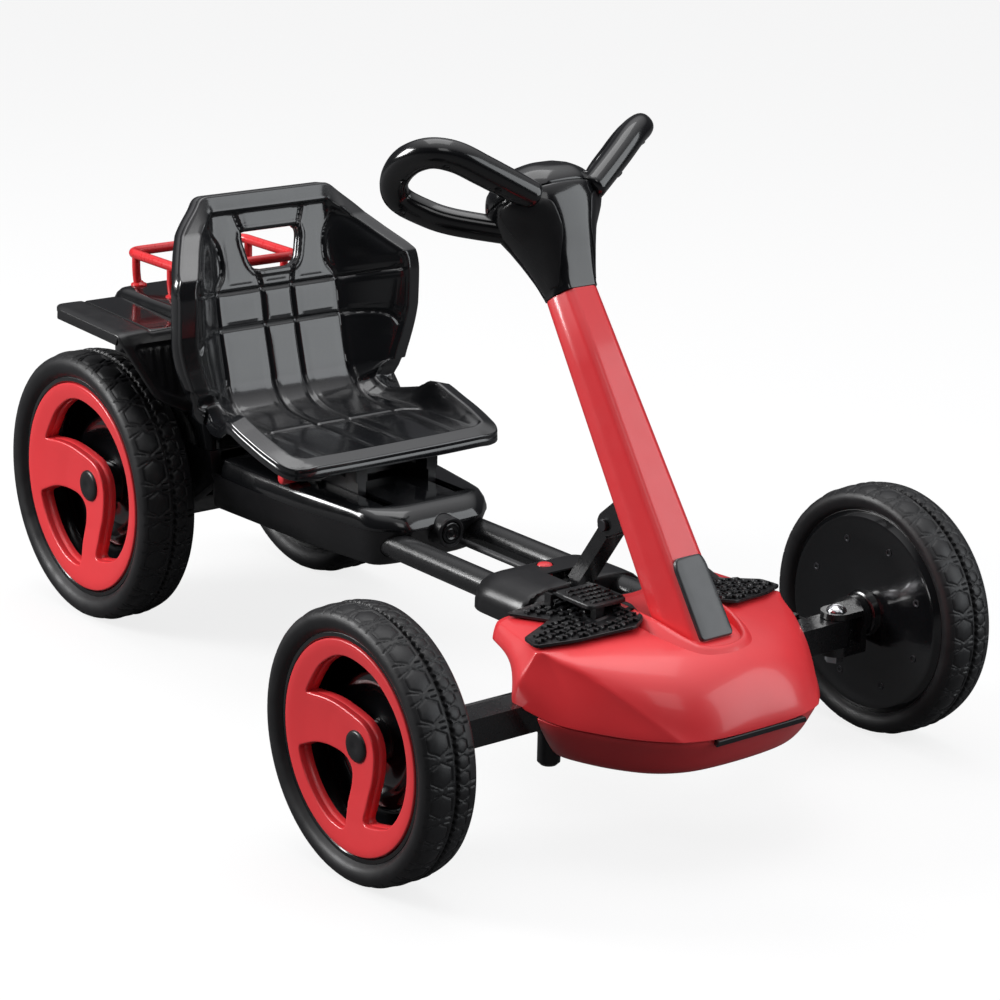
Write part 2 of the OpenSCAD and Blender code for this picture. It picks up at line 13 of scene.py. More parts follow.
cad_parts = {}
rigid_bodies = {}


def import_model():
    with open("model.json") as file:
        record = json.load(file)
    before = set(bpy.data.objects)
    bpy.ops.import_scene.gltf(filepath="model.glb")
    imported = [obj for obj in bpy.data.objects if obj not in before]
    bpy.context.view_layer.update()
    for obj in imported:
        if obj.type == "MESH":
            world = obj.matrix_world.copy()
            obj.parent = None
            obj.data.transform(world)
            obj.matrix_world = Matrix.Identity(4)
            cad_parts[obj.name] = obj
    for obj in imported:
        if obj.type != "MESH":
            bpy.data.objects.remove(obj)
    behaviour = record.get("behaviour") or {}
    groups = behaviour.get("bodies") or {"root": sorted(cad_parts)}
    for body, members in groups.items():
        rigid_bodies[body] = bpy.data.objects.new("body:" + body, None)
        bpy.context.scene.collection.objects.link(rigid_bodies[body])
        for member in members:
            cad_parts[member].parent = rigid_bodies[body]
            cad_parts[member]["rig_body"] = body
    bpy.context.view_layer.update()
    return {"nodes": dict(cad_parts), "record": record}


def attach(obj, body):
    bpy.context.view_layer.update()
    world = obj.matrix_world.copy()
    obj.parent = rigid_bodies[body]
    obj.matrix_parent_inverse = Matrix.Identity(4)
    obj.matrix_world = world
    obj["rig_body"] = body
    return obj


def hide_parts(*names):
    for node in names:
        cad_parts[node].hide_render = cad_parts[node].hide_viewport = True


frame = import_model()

ORIGIN_Y = 367.13       # the scene's origin, measured back from the front axle
SIDES = ((-1, "right"), (1, "left"))
scene = bpy.context.scene


def metres(points):
    points = np.atleast_2d(np.array(points, float))
    return np.c_[points[:, 0], points[:, 1] - ORIGIN_Y, points[:, 2]] / 1000


# ------------------------------------------------------------------ materials
def set_inputs(node, values):
    for name, value in values.items():
        node.inputs[name].default_value = value


def material(name, colour, rough, metallic=0.0, coat=0.0, coat_rough=0.06, var=0.08, scale=35,
             rough_var=0.07, bump=0.03, bump_scale=900, spec=0.5):
    """A surface whose colour and roughness drift by var and rough_var, with a fine grain."""
    mat = bpy.data.materials.new(name)
    mat.use_nodes = True
    nodes = mat.node_tree.nodes
    link = mat.node_tree.links.new
    shader = nodes["Principled BSDF"]
    set_inputs(shader, {"Metallic": metallic, "Coat Weight": coat, "Coat Roughness": coat_rough,
                        "Specular IOR Level": spec})
    coords = nodes.new("ShaderNodeTexCoord")

    def noise(noise_scale, detail):
        node = nodes.new("ShaderNodeTexNoise")
        set_inputs(node, {"Scale": noise_scale, "Detail": detail})
        link(coords.outputs["Object"], node.inputs["Vector"])
        return node.outputs["Fac"]

    tint = noise(scale, 5)
    ramp = nodes.new("ShaderNodeValToRGB")
    dark, light = ramp.color_ramp.elements
    dark.position, light.position = 0.3, 0.7
    dark.color = (*[c * (1 - var) for c in colour], 1)
    light.color = (*[min(1, c * (1 + var)) for c in colour], 1)
    link(tint, ramp.inputs["Fac"])
    link(ramp.outputs["Color"], shader.inputs["Base Color"])
    spread = nodes.new("ShaderNodeMapRange")
    set_inputs(spread, {"From Min": 0.25, "From Max": 0.75, "To Min": max(0.02, rough - rough_var),
                        "To Max": min(1, rough + rough_var)})
    link(noise(scale * 2.7, 3), spread.inputs["Value"])
    link(spread.outputs["Result"], shader.inputs["Roughness"])
    grain = noise(bump_scale, 2)
    relief = nodes.new("ShaderNodeBump")
    set_inputs(relief, {"Strength": bump, "Distance": 0.001})
    link(grain, relief.inputs["Height"])
    link(relief.outputs["Normal"], shader.inputs["Normal"])
    return mat


MATERIALS = {
    "red": material("red_gloss_plastic", (0.80, 0.040, 0.048), rough=0.34, coat=0.35,
                    coat_rough=0.10, var=0.03, scale=18, rough_var=0.04, bump=0.004,
                    bump_scale=400),
    "redp": material("red_powder_coat", (0.72, 0.022, 0.028), rough=0.30, coat=0.3, var=0.04,
                     scale=60, bump=0.05, bump_scale=1500),
    "gloss": material("black_gloss_plastic", (0.0045, 0.0048, 0.0055), rough=0.17, coat=0.5,
                      coat_rough=0.05, var=0.15, scale=14, rough_var=0.03, bump=0.004,
                      bump_scale=300),
    "seat": material("black_seat_plastic", (0.006, 0.0066, 0.0078), rough=0.22, coat=0.8,
                     coat_rough=0.10, var=0.15, scale=14, rough_var=0.03, bump=0.004,
                     bump_scale=300),
    "satin": material("black_satin_plastic", (0.009, 0.009, 0.010), rough=0.32, var=0.12,
                      scale=25, rough_var=0.05, bump=0.03, bump_scale=1600),
    "paint": material("black_semi_gloss_paint", (0.008, 0.0082, 0.009), rough=0.27, coat=0.3,
                      var=0.12, scale=30, rough_var=0.05, bump=0.04, bump_scale=1400),
    "panel": material("black_column_panel", (0.013, 0.0145, 0.017), rough=0.33, coat=0.5,
                      var=0.12, scale=30, rough_var=0.05, bump=0.03, bump_scale=1800),
    "tyre": material("tyre_rubber", (0.009, 0.009, 0.010), rough=0.46, var=0.2, scale=22,
                     rough_var=0.10, bump=0.10, bump_scale=1100, spec=0.45),
    "pad": material("grip_rubber", (0.009, 0.009, 0.010), rough=0.36, var=0.2, scale=60,
                    rough_var=0.1, bump=0.12, bump_scale=1300),
    "steel": material("bright_zinc_steel", (0.72, 0.72, 0.74), rough=0.20, metallic=1.0,
                      var=0.07, scale=80, rough_var=0.06, bump=0.04, bump_scale=1500),
    "dark": material("dark_steel", (0.05, 0.05, 0.055), rough=0.35, metallic=0.7, var=0.15,
                     scale=60, rough_var=0.08, bump=0.05, bump_scale=1300),
    "case": material("module_case", (0.05, 0.055, 0.065), rough=0.5, var=0.15, scale=50,
                     bump=0.06, bump_scale=900),
    "wire": material("cable_sheath", (0.03, 0.03, 0.032), rough=0.5, var=0.2, scale=90,
                     bump=0.08, bump_scale=1200),
}


# ------------------------------------------------------------------ objects
def add_object(name, data):
    obj = bpy.data.objects.new(name, data)
    scene.collection.objects.link(obj)
    return obj


def face_outward(mesh, weld=0.0):
    bm = bmesh.new()
    bm.from_mesh(mesh)
    if weld:
        bmesh.ops.remove_doubles(bm, verts=bm.verts, dist=weld)
    bmesh.ops.recalc_face_normals(bm, faces=bm.faces)
    bm.to_mesh(mesh)
    bm.free()


def finish(obj, mat, sharp, bevel, segments, bevel_angle):
    """Smooth shading, with either bevelled edges or edges kept sharp above an angle."""
    mesh = obj.data
    mesh.materials.clear()
    mesh.materials.append(MATERIALS[mat])
    mesh.shade_smooth()
    if bevel > 0:
        edges = obj.modifiers.new("edges", "BEVEL")
        edges.width = bevel / 1000
        edges.segments = segments
        edges.limit_method = "ANGLE"
        edges.angle_limit = math.radians(bevel_angle)
        edges.use_clamp_overlap = True
        normals = obj.modifiers.new("normals", "WEIGHTED_NORMAL")
        normals.keep_sharp = False
        normals.weight = 60
    else:
        mesh.set_sharp_from_angle(angle=math.radians(sharp))


def part(name, shape, mat, body, nodes=(), sharp=35, bevel=0.0):
    """An object from a shape, which is a pair of points and faces."""
    points, faces = shape
    mesh = bpy.data.meshes.new(name)
    mesh.from_pydata(metres(points).tolist(), [], [tuple(int(i) for i in f) for f in faces])
    obj = add_object(name, mesh)
    face_outward(mesh, weld=2e-6)
    finish(obj, mat, sharp, bevel, segments=3, bevel_angle=28)
    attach(obj, body)
    if nodes:
        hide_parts(*nodes)
    return obj


CAD_SLOTS = {s["node"]: s["material_slot"]
             for s in frame["record"].get("subparts", []) if "node" in s}


def refine(node, mat, bevel, segments=2):
    """A clean copy of a CAD node with rounded edges."""
    source = frame["nodes"][node]
    bm = bmesh.new()
    bm.from_mesh(source.data)
    bmesh.ops.remove_doubles(bm, verts=bm.verts, dist=4e-6)
    bmesh.ops.dissolve_limit(bm, angle_limit=math.radians(0.6), verts=bm.verts, edges=bm.edges,
                             delimit=set())
    bmesh.ops.recalc_face_normals(bm, faces=bm.faces)
    mesh = bpy.data.meshes.new(node + "_part")
    bm.to_mesh(mesh)
    bm.free()
    if "custom_normal" in mesh.attributes:
        mesh.attributes.remove(mesh.attributes["custom_normal"])
    obj = add_object(node + "_part", mesh)
    finish(obj, mat, 32, bevel, segments, bevel_angle=32)
    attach(obj, source["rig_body"])
    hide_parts(node)


def cut(obj, *shapes):
    """Subtracts closed shapes and applies the result."""
    cutters = []
    for points, faces in shapes:
        mesh = bpy.data.meshes.new("cut")
        mesh.from_pydata(metres(points).tolist(), [], [tuple(f) for f in faces])
        face_outward(mesh)
        cutter = add_object("cut", mesh)
        cutters.append(cutter)
        boolean = obj.modifiers.new("cut", "BOOLEAN")
        boolean.operation = "DIFFERENCE"
        boolean.solver = "EXACT"
        boolean.object = cutter
    depsgraph = bpy.context.evaluated_depsgraph_get()
    depsgraph.update()
    mesh = bpy.data.meshes.new_from_object(obj.evaluated_get(depsgraph))
    obj.modifiers.clear()
    mats = list(obj.data.materials)
    obj.data = mesh
    mesh.materials.clear()
    for mat in mats:
        mesh.materials.append(mat)
    for face in mesh.polygons:
        face.material_index = 0
    for cutter in cutters:
        bpy.data.objects.remove(cutter)
    mesh.shade_smooth()
    mesh.set_sharp_from_angle(angle=math.radians(40))


# ------------------------------------------------------------------ curves and outlines
def unit(vectors):
    return vectors / np.linalg.norm(vectors, axis=-1, keepdims=True)


def smooth(value, low, high):
    """Smooth step from 0 at low to 1 at high."""
    t = np.clip((np.asarray(value, float) - low) / (high - low), 0, 1)
    return t * t * (3 - 2 * t)


def bell(value, width):
    return np.exp(-(value / width) ** 2)


def lookup(value, table):
    """Linear interpolation in a table of (station, value) rows."""
    return np.interp(value, *zip(*table))


def spline(p0, p1, p2, p3, t):
    """Catmull-Rom point between p1 and p2."""
    return 0.5 * (2 * p1 + (p2 - p0) * t + (2 * p0 - 5 * p1 + 4 * p2 - p3) * t * t
                  + (3 * p1 - p0 - 3 * p2 + p3) * t ** 3)


def curve(points, steps, closed=False):
    """Smooth curve through points, with so many steps between each two."""
    points = np.array(points, float)
    if closed:
        padded = np.vstack([points[-1:], points, points[:2]])
    else:
        padded = np.vstack([2 * points[0] - points[1], points, 2 * points[-1] - points[-2]])
    out = [spline(*padded[i:i + 4], k / steps)
           for i in range(len(padded) - 3) for k in range(steps)]
    if not closed:
        out.append(points[-1])
    return np.array(out)


def rounded(points, radii, arc=5):
    """Polygon with rounded corners; radii is one number or one per corner."""
    points = np.array(points, float)
    radii = np.broadcast_to(radii, len(points))
    out = []
    for i, point in enumerate(points):
        before = points[i - 1] - point
        after = points[(i + 1) % len(points)] - point
        before_len, after_len = np.linalg.norm(before), np.linalg.norm(after)
        reach = min(radii[i], before_len * 0.49, after_len * 0.49)
        start, end = point + before / before_len * reach, point + after / after_len * reach
        for k in range(arc + 1):
            t = k / arc
            out.append((1 - t) ** 2 * start + 2 * t * (1 - t) * point + t * t * end)
    return np.array(out)


def mirrored(half, radii, arc=5):
    """Rounded polygon from its +x half and that half's mirror image."""
    half = np.array(half, float)
    radii = np.broadcast_to(radii, len(half))
    return rounded(np.vstack([half, half[::-1] * [-1, 1]]), np.r_[radii, radii[::-1]], arc)


def rect(x0, y0, x1, y1):
    return [(x0, y0), (x1, y0), (x1, y1), (x0, y1)]


def lengths(points):
    """Length along a polyline at each point."""
    return np.r_[0, np.cumsum(np.linalg.norm(np.diff(points, axis=0), axis=1))]


def resample(outline, count=None, step=None):
    """Evenly spaced points round a closed outline, by count or by step."""
    closed = np.vstack([outline, outline[:1]])
    arc = lengths(closed)
    count = count or max(8, int(round(arc[-1] / step)))
    stops = np.linspace(0, arc[-1], count, endpoint=False)
    return np.stack([np.interp(stops, arc, column) for column in closed.T], 1)


class Profile:
    """A side-view curve in y and z, addressed by the length along it."""

    def __init__(self, points, steps):
        self.curve = curve(points, steps)
        self.arc = lengths(self.curve)
        self.end = self.arc[-1]
        self.tangent = unit(np.gradient(self.curve, axis=0))
        self.normal = np.c_[-self.tangent[:, 1], self.tangent[:, 0]]

    def at(self, y, z):
        """Length along the curve of the point nearest to y, z."""
        return self.arc[((self.curve - np.array([y, z])) ** 2).sum(1).argmin()]

    def place(self, x, along, height):
        """Maps to the kart; beyond either end the curve runs straight on."""
        past, short = np.clip(along - self.end, 0, None), np.clip(-along, 0, None)
        out = [x]
        for axis in (0, 1):
            base = np.interp(along, self.arc, self.curve[:, axis])
            base = base + past * self.tangent[-1, axis] - short * self.tangent[0, axis]
            out.append(base + np.interp(along, self.arc, self.normal[:, axis]) * height)
        return np.stack(out, 1)


CHUNK = 20000           # points measured at once, to bound memory


def to_segments(points, starts, ends):
    """Squared distance from every point to every segment, and the nearest places."""
    run = ends - starts
    offset = points[:, None] - starts[None]
    t = np.clip((offset * run).sum(2) / ((run ** 2).sum(1) + 1e-12), 0, 1)
    foot = starts[None] + t[..., None] * run[None]
    return ((points[:, None] - foot) ** 2).sum(2), foot


def inset_of(points, loops):
    """Distance to the nearest outline, plus inside the shape, and the closest place on it."""
    best = np.full(len(points), 1e18)
    closest = np.zeros_like(points)
    inside = np.zeros(len(points), bool)
    for loop in loops:
        starts = np.asarray(loop, float)
        ends = np.roll(starts, -1, 0)
        (x0, y0), (x1, y1) = starts.T, ends.T
        for first in range(0, len(points), CHUNK):
            chunk = slice(first, first + CHUNK)
            near = points[chunk]
            squared, foot = to_segments(near, starts, ends)
            pick = squared.argmin(1)
            row = np.arange(len(near))
            nearest = squared[row, pick]
            better = nearest < best[chunk]
            best[chunk] = np.where(better, nearest, best[chunk])
            closest[chunk][better] = foot[row, pick][better]
            x, y = near[:, 0:1], near[:, 1:2]
            crossing = (y0 > y) != (y1 > y)
            with np.errstate(divide="ignore", invalid="ignore"):
                cross_x = (x1 - x0) * (y - y0) / (y1 - y0) + x0
            inside[chunk] ^= ((crossing & (x < cross_x)).sum(1) % 2).astype(bool)
    distance = np.sqrt(best)
    distance[~inside] *= -1
    return distance, closest


def line_distance(points, line):
    """Distance to an open line, where it is within 6 mm of the line's bounding box."""
    out = np.full(len(points), 1e9)
    low, high = line.min(0) - 6, line.max(0) + 6
    near = np.nonzero(((points > low) & (points < high)).all(1))[0]
    for first in range(0, len(near), CHUNK):
        rows = near[first:first + CHUNK]
        out[rows] = np.sqrt(to_segments(points[rows], line[:-1], line[1:])[0].min(1))
    return out


def outward(loop):
    """Unit normals of an outline that point away from the area it encloses."""
    run = unit(np.roll(loop, -1, 0) - np.roll(loop, 1, 0))
    normals = np.c_[run[:, 1], -run[:, 0]]
    inset, _ = inset_of(loop + normals * 0.5, [loop])
    return normals * np.where(inset > 0, -1, 1)[:, None]


# ------------------------------------------------------------------ shapes
def merge(*shapes):
    points, faces, base = [], [], 0
    for more_points, more_faces in shapes:
        points.append(np.array(more_points, float))
        faces += [tuple(i + base for i in face) for face in more_faces]
        base += len(more_points)
    return np.vstack(points), faces


def loft(rings, cap_first=True, cap_last=True, closed=True):
    count = len(rings[0])
    last = (len(rings) - 1) * count
    faces = []
    for a in range(0, last, count):
        for k in range(count if closed else count - 1):
            j = (k + 1) % count
            faces.append((a + k, a + j, a + count + j, a + count + k))
    if cap_first:
        faces.append(tuple(range(count))[::-1])
    if cap_last:
        faces.append(tuple(last + k for k in range(count)))
    return np.vstack(rings), faces


def ring_band(rings):
    """Rings joined in turn, and the last back to the first."""
    points, faces = loft(rings, False, False)
    count = len(rings[0])
    last = (len(rings) - 1) * count
    faces += [(last + k, last + (k + 1) % count, (k + 1) % count, k) for k in range(count)]
    return points, faces


def shell(outer, inner, open_last=False):
    """Two lofted skins, capped at one end and joined by a rim at the open end."""
    points, faces = merge(*(loft(skin, open_last, not open_last) for skin in (outer, inner)))
    count = len(outer[0])
    a = (len(outer) - 1) * count if open_last else 0
    b = len(outer) * count + a
    faces += [(a + k, a + (k + 1) % count, b + (k + 1) % count, b + k) for k in range(count)]
    return points, faces


def level(outline, z):
    """A flat outline as a ring at one height."""
    return np.c_[outline, np.full(len(outline), z)]


def halved(rings):
    """The rings with one more halfway between each two."""
    out = []
    for this, following in zip(rings, rings[1:]):
        out += [this, this * 0.5 + following * 0.5]
    return out + [rings[-1]]


def shrunk(ring, across, along, centre_y, rise):
    """A ring scaled in x, and in y about centre_y, then raised."""
    return np.c_[ring[:, 0] * across, centre_y + (ring[:, 1] - centre_y) * along,
                 ring[:, 2] + rise]


def revolve(profile, sides, at, axis="x", sign=1):
    """Turns a closed profile of (radius, place along the axis) rows."""
    rings = []
    for i in range(sides):
        angle = 2 * math.pi * i / sides
        ring = []
        for radius, along in profile:
            offset = [radius * math.cos(angle), radius * math.sin(angle)]
            offset.insert("xyz".index(axis), sign * along)
            ring.append([a + b for a, b in zip(at, offset)])
        rings.append(ring)
    return ring_band(rings)


def tube(path, radius, sides=16, up=(0, 0, 1), closed=False, shape=None):
    """Swept tube; radius is one number or one per point, shape reworks the unit circle."""
    path = np.array(path, float)
    radius = np.broadcast_to(radius, len(path))
    ends = (path[-1:], path[:1]) if closed else (path[:1], path[-1:])
    padded = np.vstack([ends[0], path, ends[1]])
    tangents = unit(padded[2:] - padded[:-2])
    first = tangents[0]
    u = np.array(up, float)
    u = u - first * u.dot(first)
    if np.linalg.norm(u) < 1e-6:
        u = np.array([1.0, 0, 0]) - first * first[0]
    rings = []
    for point, tangent, size in zip(path, tangents, radius):
        u = unit(u - tangent * u.dot(tangent))
        w = np.cross(tangent, u)
        ring = []
        for k in range(sides):
            angle = 2 * math.pi * k / sides
            a, b = math.cos(angle), math.sin(angle)
            if shape:
                a, b = shape(a, b)
            ring.append(point + size * (u * a + w * b))
        rings.append(ring)
    return ring_band(rings) if closed else loft(rings)


def rod(radius, start, end):
    return tube([start, end], radius, 40)


def box(low, high):
    points = [(x, y, z) for x in (low[0], high[0]) for y in (low[1], high[1])
              for z in (low[2], high[2])]
    return points, [(0, 1, 3, 2), (4, 6, 7, 5), (0, 4, 5, 1), (2, 3, 7, 6), (0, 2, 6, 4),
                    (1, 5, 7, 3)]


def hull(corners):
    bm = bmesh.new()
    for corner in corners:
        bm.verts.new(corner)
    bmesh.ops.convex_hull(bm, input=bm.verts)
    bmesh.ops.delete(bm, geom=[v for v in bm.verts if not v.link_faces], context="VERTS")
    bmesh.ops.dissolve_limit(bm, angle_limit=math.radians(0.8), verts=bm.verts, edges=bm.edges)
    bm.verts.index_update()
    shape = [tuple(v.co) for v in bm.verts], [[v.index for v in f.verts] for f in bm.faces]
    bm.free()
    return shape


def raised(outline, levels, place):
    """A capped boss over an outline; levels are (scale about the centre, height) rows."""
    centre = outline.mean(0)
    rings = []
    for scale, height in levels:
        flat = centre + (outline - centre) * scale
        rings.append(place(flat[:, 0], flat[:, 1], np.full(len(flat), height)))
    return loft(rings, False, True)


def plate(loops, step, top, edge, wall, place, arc=4):
    """A sheet over a 2D shape, built on a square grid.

    top(points, inset) is the upper surface, edge the radius of its rim, wall the depth of
    the sides, and place(x, y, height) maps to the kart.
    """
    corners = np.vstack(loops)
    x0, y0 = corners.min(0) - step
    x1, y1 = corners.max(0) + step
    nx, ny = int(math.ceil((x1 - x0) / step)) + 1, int(math.ceil((y1 - y0) / step)) + 1
    grid_x, grid_y = np.meshgrid(x0 + np.arange(nx) * step, y0 + np.arange(ny) * step)
    mid_x, mid_y = np.meshgrid(x0 + (np.arange(nx - 1) + 0.5) * step,
                               y0 + (np.arange(ny - 1) + 0.5) * step)
    inset, _ = inset_of(np.c_[mid_x.ravel(), mid_y.ravel()], loops)
    keep = (inset - edge > 0).reshape(ny - 1, nx - 1)
    # no two kept cells may meet only at a corner
    for _ in range(3):
        a, b, c, d = keep[:-1, :-1], keep[:-1, 1:], keep[1:, :-1], keep[1:, 1:]
        falling = a & d & ~b & ~c
        rising = b & c & ~a & ~d
        if not (falling.any() or rising.any()):
            break
        keep[:-1, 1:] |= falling
        keep[:-1, :-1] |= rising
    j, i = np.nonzero(keep)
    cells = np.stack([j * nx + i, j * nx + i + 1, (j + 1) * nx + i + 1, (j + 1) * nx + i], 1)
    used, cells = np.unique(cells.ravel(), return_inverse=True)
    cells = cells.reshape(-1, 4)
    points = np.c_[grid_x.ravel(), grid_y.ravel()][used]
    # edges with one cell make the border, each in the direction of its cell
    edges = np.concatenate([cells[:, [k, (k + 1) % 4]] for k in range(4)])
    keys = np.sort(edges, 1) @ np.array([len(points), 1])
    unique_keys, uses = np.unique(keys, return_counts=True)
    border_edges = edges[np.isin(keys, unique_keys[uses == 1])]
    border = np.unique(border_edges)
    # pull the border to the start of the rounded rim
    inset, closest = inset_of(points[border], loops)
    inward = (points[border] - closest) * np.sign(inset)[:, None]
    inward /= np.maximum(np.linalg.norm(inward, axis=1), 1e-9)[:, None]
    points[border] = closest + inward * edge
    height = top(points, inset_of(points, loops)[0])
    out = [place(points[:, 0], points[:, 1], height)]
    faces = cells.tolist()
    count = len(border)
    slot_of = np.full(len(points), -1)
    slot_of[border] = np.arange(count)
    previous = border
    base = len(points)
    turns = [math.pi / 2 * k / arc for k in range(1, arc + 1)]
    steps = [(edge * math.sin(t), edge * (1 - math.cos(t))) for t in turns]
    depths = [wall * 0.5 + edge * 0.5, wall] if wall > 6 else [wall]
    for out_by, down_by in steps + [(edge, depth) for depth in depths]:
        ring = points[border] - inward * out_by
        out.append(place(ring[:, 0], ring[:, 1], height[border] - down_by))
        current = base + np.arange(count)
        for a, b in slot_of[border_edges]:
            faces.append((previous[b], previous[a], current[a], current[b]))
        previous = current
        base += count
    # underside, parallel to the top
    inner = np.setdiff1d(np.arange(len(points)), border)
    under = np.full(len(points), -1)
    under[border] = previous
    under[inner] = base + np.arange(len(inner))
    out.append(place(points[inner, 0], points[inner, 1], (height - wall)[inner]))
    faces += [tuple(under[cell][::-1]) for cell in cells]
    return np.vstack(out), faces


# ------------------------------------------------------------------ wheels
# Sizes are those of a front wheel; rear wheels are the same at a larger scale.
WHEEL_RADIUS = 127.0
REPEATS = 28            # large tread blocks round the tyre
PITCH = 2 * math.pi * WHEEL_RADIUS / REPEATS
SHOULDER_X = 24.0
# side wall: (radius, x)
SIDE_WALL = [(104.2, -21), (108, -25.6), (112.5, -27.8), (117, -28.2), (121.3, -26.6),
             (124.0, -24.0)]
LIP_RADIUS, LIP_X = 103.4, 21.4
# (radius, outboard); the first and last rows lie on the bore
RIM = [(1, -27.3), (14, -33), (20, -33), (22.5, -31.5), (24, -24.8), (30, -24.2), (60, -24.6),
       (92, -24.6), (95, -26.0), (98.5, -26.0), (100.6, -24.0), (103.6, -21.6), (103.6, 21.6),
       (100.4, 21.6), (99.3, 20.5), (99, 12), (95, -12), (90, -15.5), (68, -15.5),
       (64.5, -13.5), (62, -9), (58, -7.5), (50, -8.5), (46, -12), (40, -15), (26, -15),
       (21, -12), (19, 5), (17.5, 8.6), (1, 8.6)]
RIM_SCREW = [(0.01, 1.2), (1.7, 1.2), (1.9, -0.4), (2.6, -0.7), (3.6, -0.6), (3.9, 0.2),
             (3.9, 1.6), (0.01, 1.6)]
HUB_CAP = [(0.01, 15.3), (3.2, 15.4), (5.2, 15.9), (10.6, 15.9), (13.2, 15.5), (14.5, 14.6),
           (14.9, 13.4), (14.9, 12.6), (0.01, 12.6)]
COVER_RADIUS = 98.7
# cover's face: (radius, outboard)
DISH = [(0, 13.2), (15, 13.2), (40, 15), (70, 19), (88, 22.0), (93, 22.7), (97, 22.7),
        (99, 22.2)]
# windows of the cover: (forward, up) from the hub
WINDOWS = [
    [(-67.9, 34.0), (-51.5, 58.3), (-36.4, 71.6), (-18.2, 81.2), (2.3, 84.3), (25.7, 80.8),
     (43.2, 73.6), (63.7, 57.8), (78.4, 37.6), (84.6, 17.2), (85.3, -3.3), (80.6, -23.7),
     (71.6, -41.3), (59.5, -54.6), (47.0, -60.9), (31.4, -65.3), (21.5, -66.6), (17.6, -62.6),
     (19.6, -52.9), (21.9, -39.5), (25.5, -25.6), (27.1, -11.4), (26.9, 0.2), (23.9, 10.3),
     (18.0, 18.2), (9.2, 24.0), (-2.3, 27.0), (-16.2, 29.7), (-34.5, 32.4), (-49.5, 32.6),
     (-64.4, 31.6)],
    [(-78.1, -24.0), (-70.2, -19.2), (-58.3, -14.2), (-46.1, -11.9), (-30.8, -11.8),
     (-20.1, -13.4), (-11.6, -17.6), (-6.2, -24.7), (-5.3, -34.4), (-6.5, -43.9),
     (-8.1, -55.9), (-8.1, -67.8), (-8.3, -76.8), (-11.6, -79.9), (-21.3, -79.6),
     (-35.6, -75.5), (-50.1, -66.7), (-61.8, -55.7), (-70.5, -44.1), (-76.3, -32.6)],
]
# section of a window's lip: (away from the opening, height over the dish)
WINDOW_LIP = [(0.9, -5.5), (0.0, -6.0), (-1.2, -10.5), (-1.0, -13.0), (0.4, -13.6),
              (1.8, -12.5), (1.9, -6.5)]


def between(value, rise0, rise1, fall0, fall1):
    return smooth(value, rise0, rise1) * (1 - smooth(value, fall0, fall1))


def outside_hexagon(u, v, radius):
    a, b = np.abs(u), np.abs(v)
    return np.maximum(b, a * 0.866 + b * 0.5) - radius


def tread_depth(arc, x):
    """Depth of the pattern at a length round the tyre and a place across it."""
    along = arc % PITCH
    # groove near the centre: one straight edge, one serrated
    serrated = 3.0 + 1.8 * np.abs((arc / (PITCH / 4)) % 1 - 0.5) * 2
    depth = 2.6 * between(x, 0.2, 0.9, serrated, serrated + 0.8)
    # large hexagons, outlined and slightly domed
    u, v = along - PITCH / 2, x + 13.0
    depth += 0.9 * bell(outside_hexagon(u, v, 9.4) - 0.6, 0.75) * (np.abs(x + 12.5) < 13.6)
    depth -= 0.55 * np.clip(1 - (np.hypot(u, v) / 9.0) ** 2, 0, 1)
    # lines between the large hexagons and the shoulder
    off = np.minimum(along, PITCH - along)
    depth += 0.8 * bell(off - 2.6 - 0.35 * np.clip(-x - 17, 0, 9), 0.7) \
        * between(-x, 16, 18, 25.5, 27)
    # paired sipes beside the groove and at the other shoulder
    for sipe in (-2.6, 2.6):
        off = np.minimum(np.abs(along - sipe), np.minimum(np.abs(along - PITCH - sipe),
                                                          np.abs(along + PITCH - sipe)))
        depth += 1.3 * bell(off, 0.72) * between(x, -8.6, -7.6, -1.8, -1.0)
        depth += 1.2 * bell(off, 0.72) * between(x, 16.6, 17.6, 22.6, 23.6)
    # small hexagons, two to a pitch
    u, v = arc % (PITCH / 2) - PITCH / 4, x - 10.2
    depth += 0.8 * bell(outside_hexagon(u, v, 5.3) - 0.5, 0.65) * (np.abs(v) < 8)
    depth -= 0.4 * np.clip(1 - (np.hypot(u, v) / 5.2) ** 2, 0, 1)
    return depth


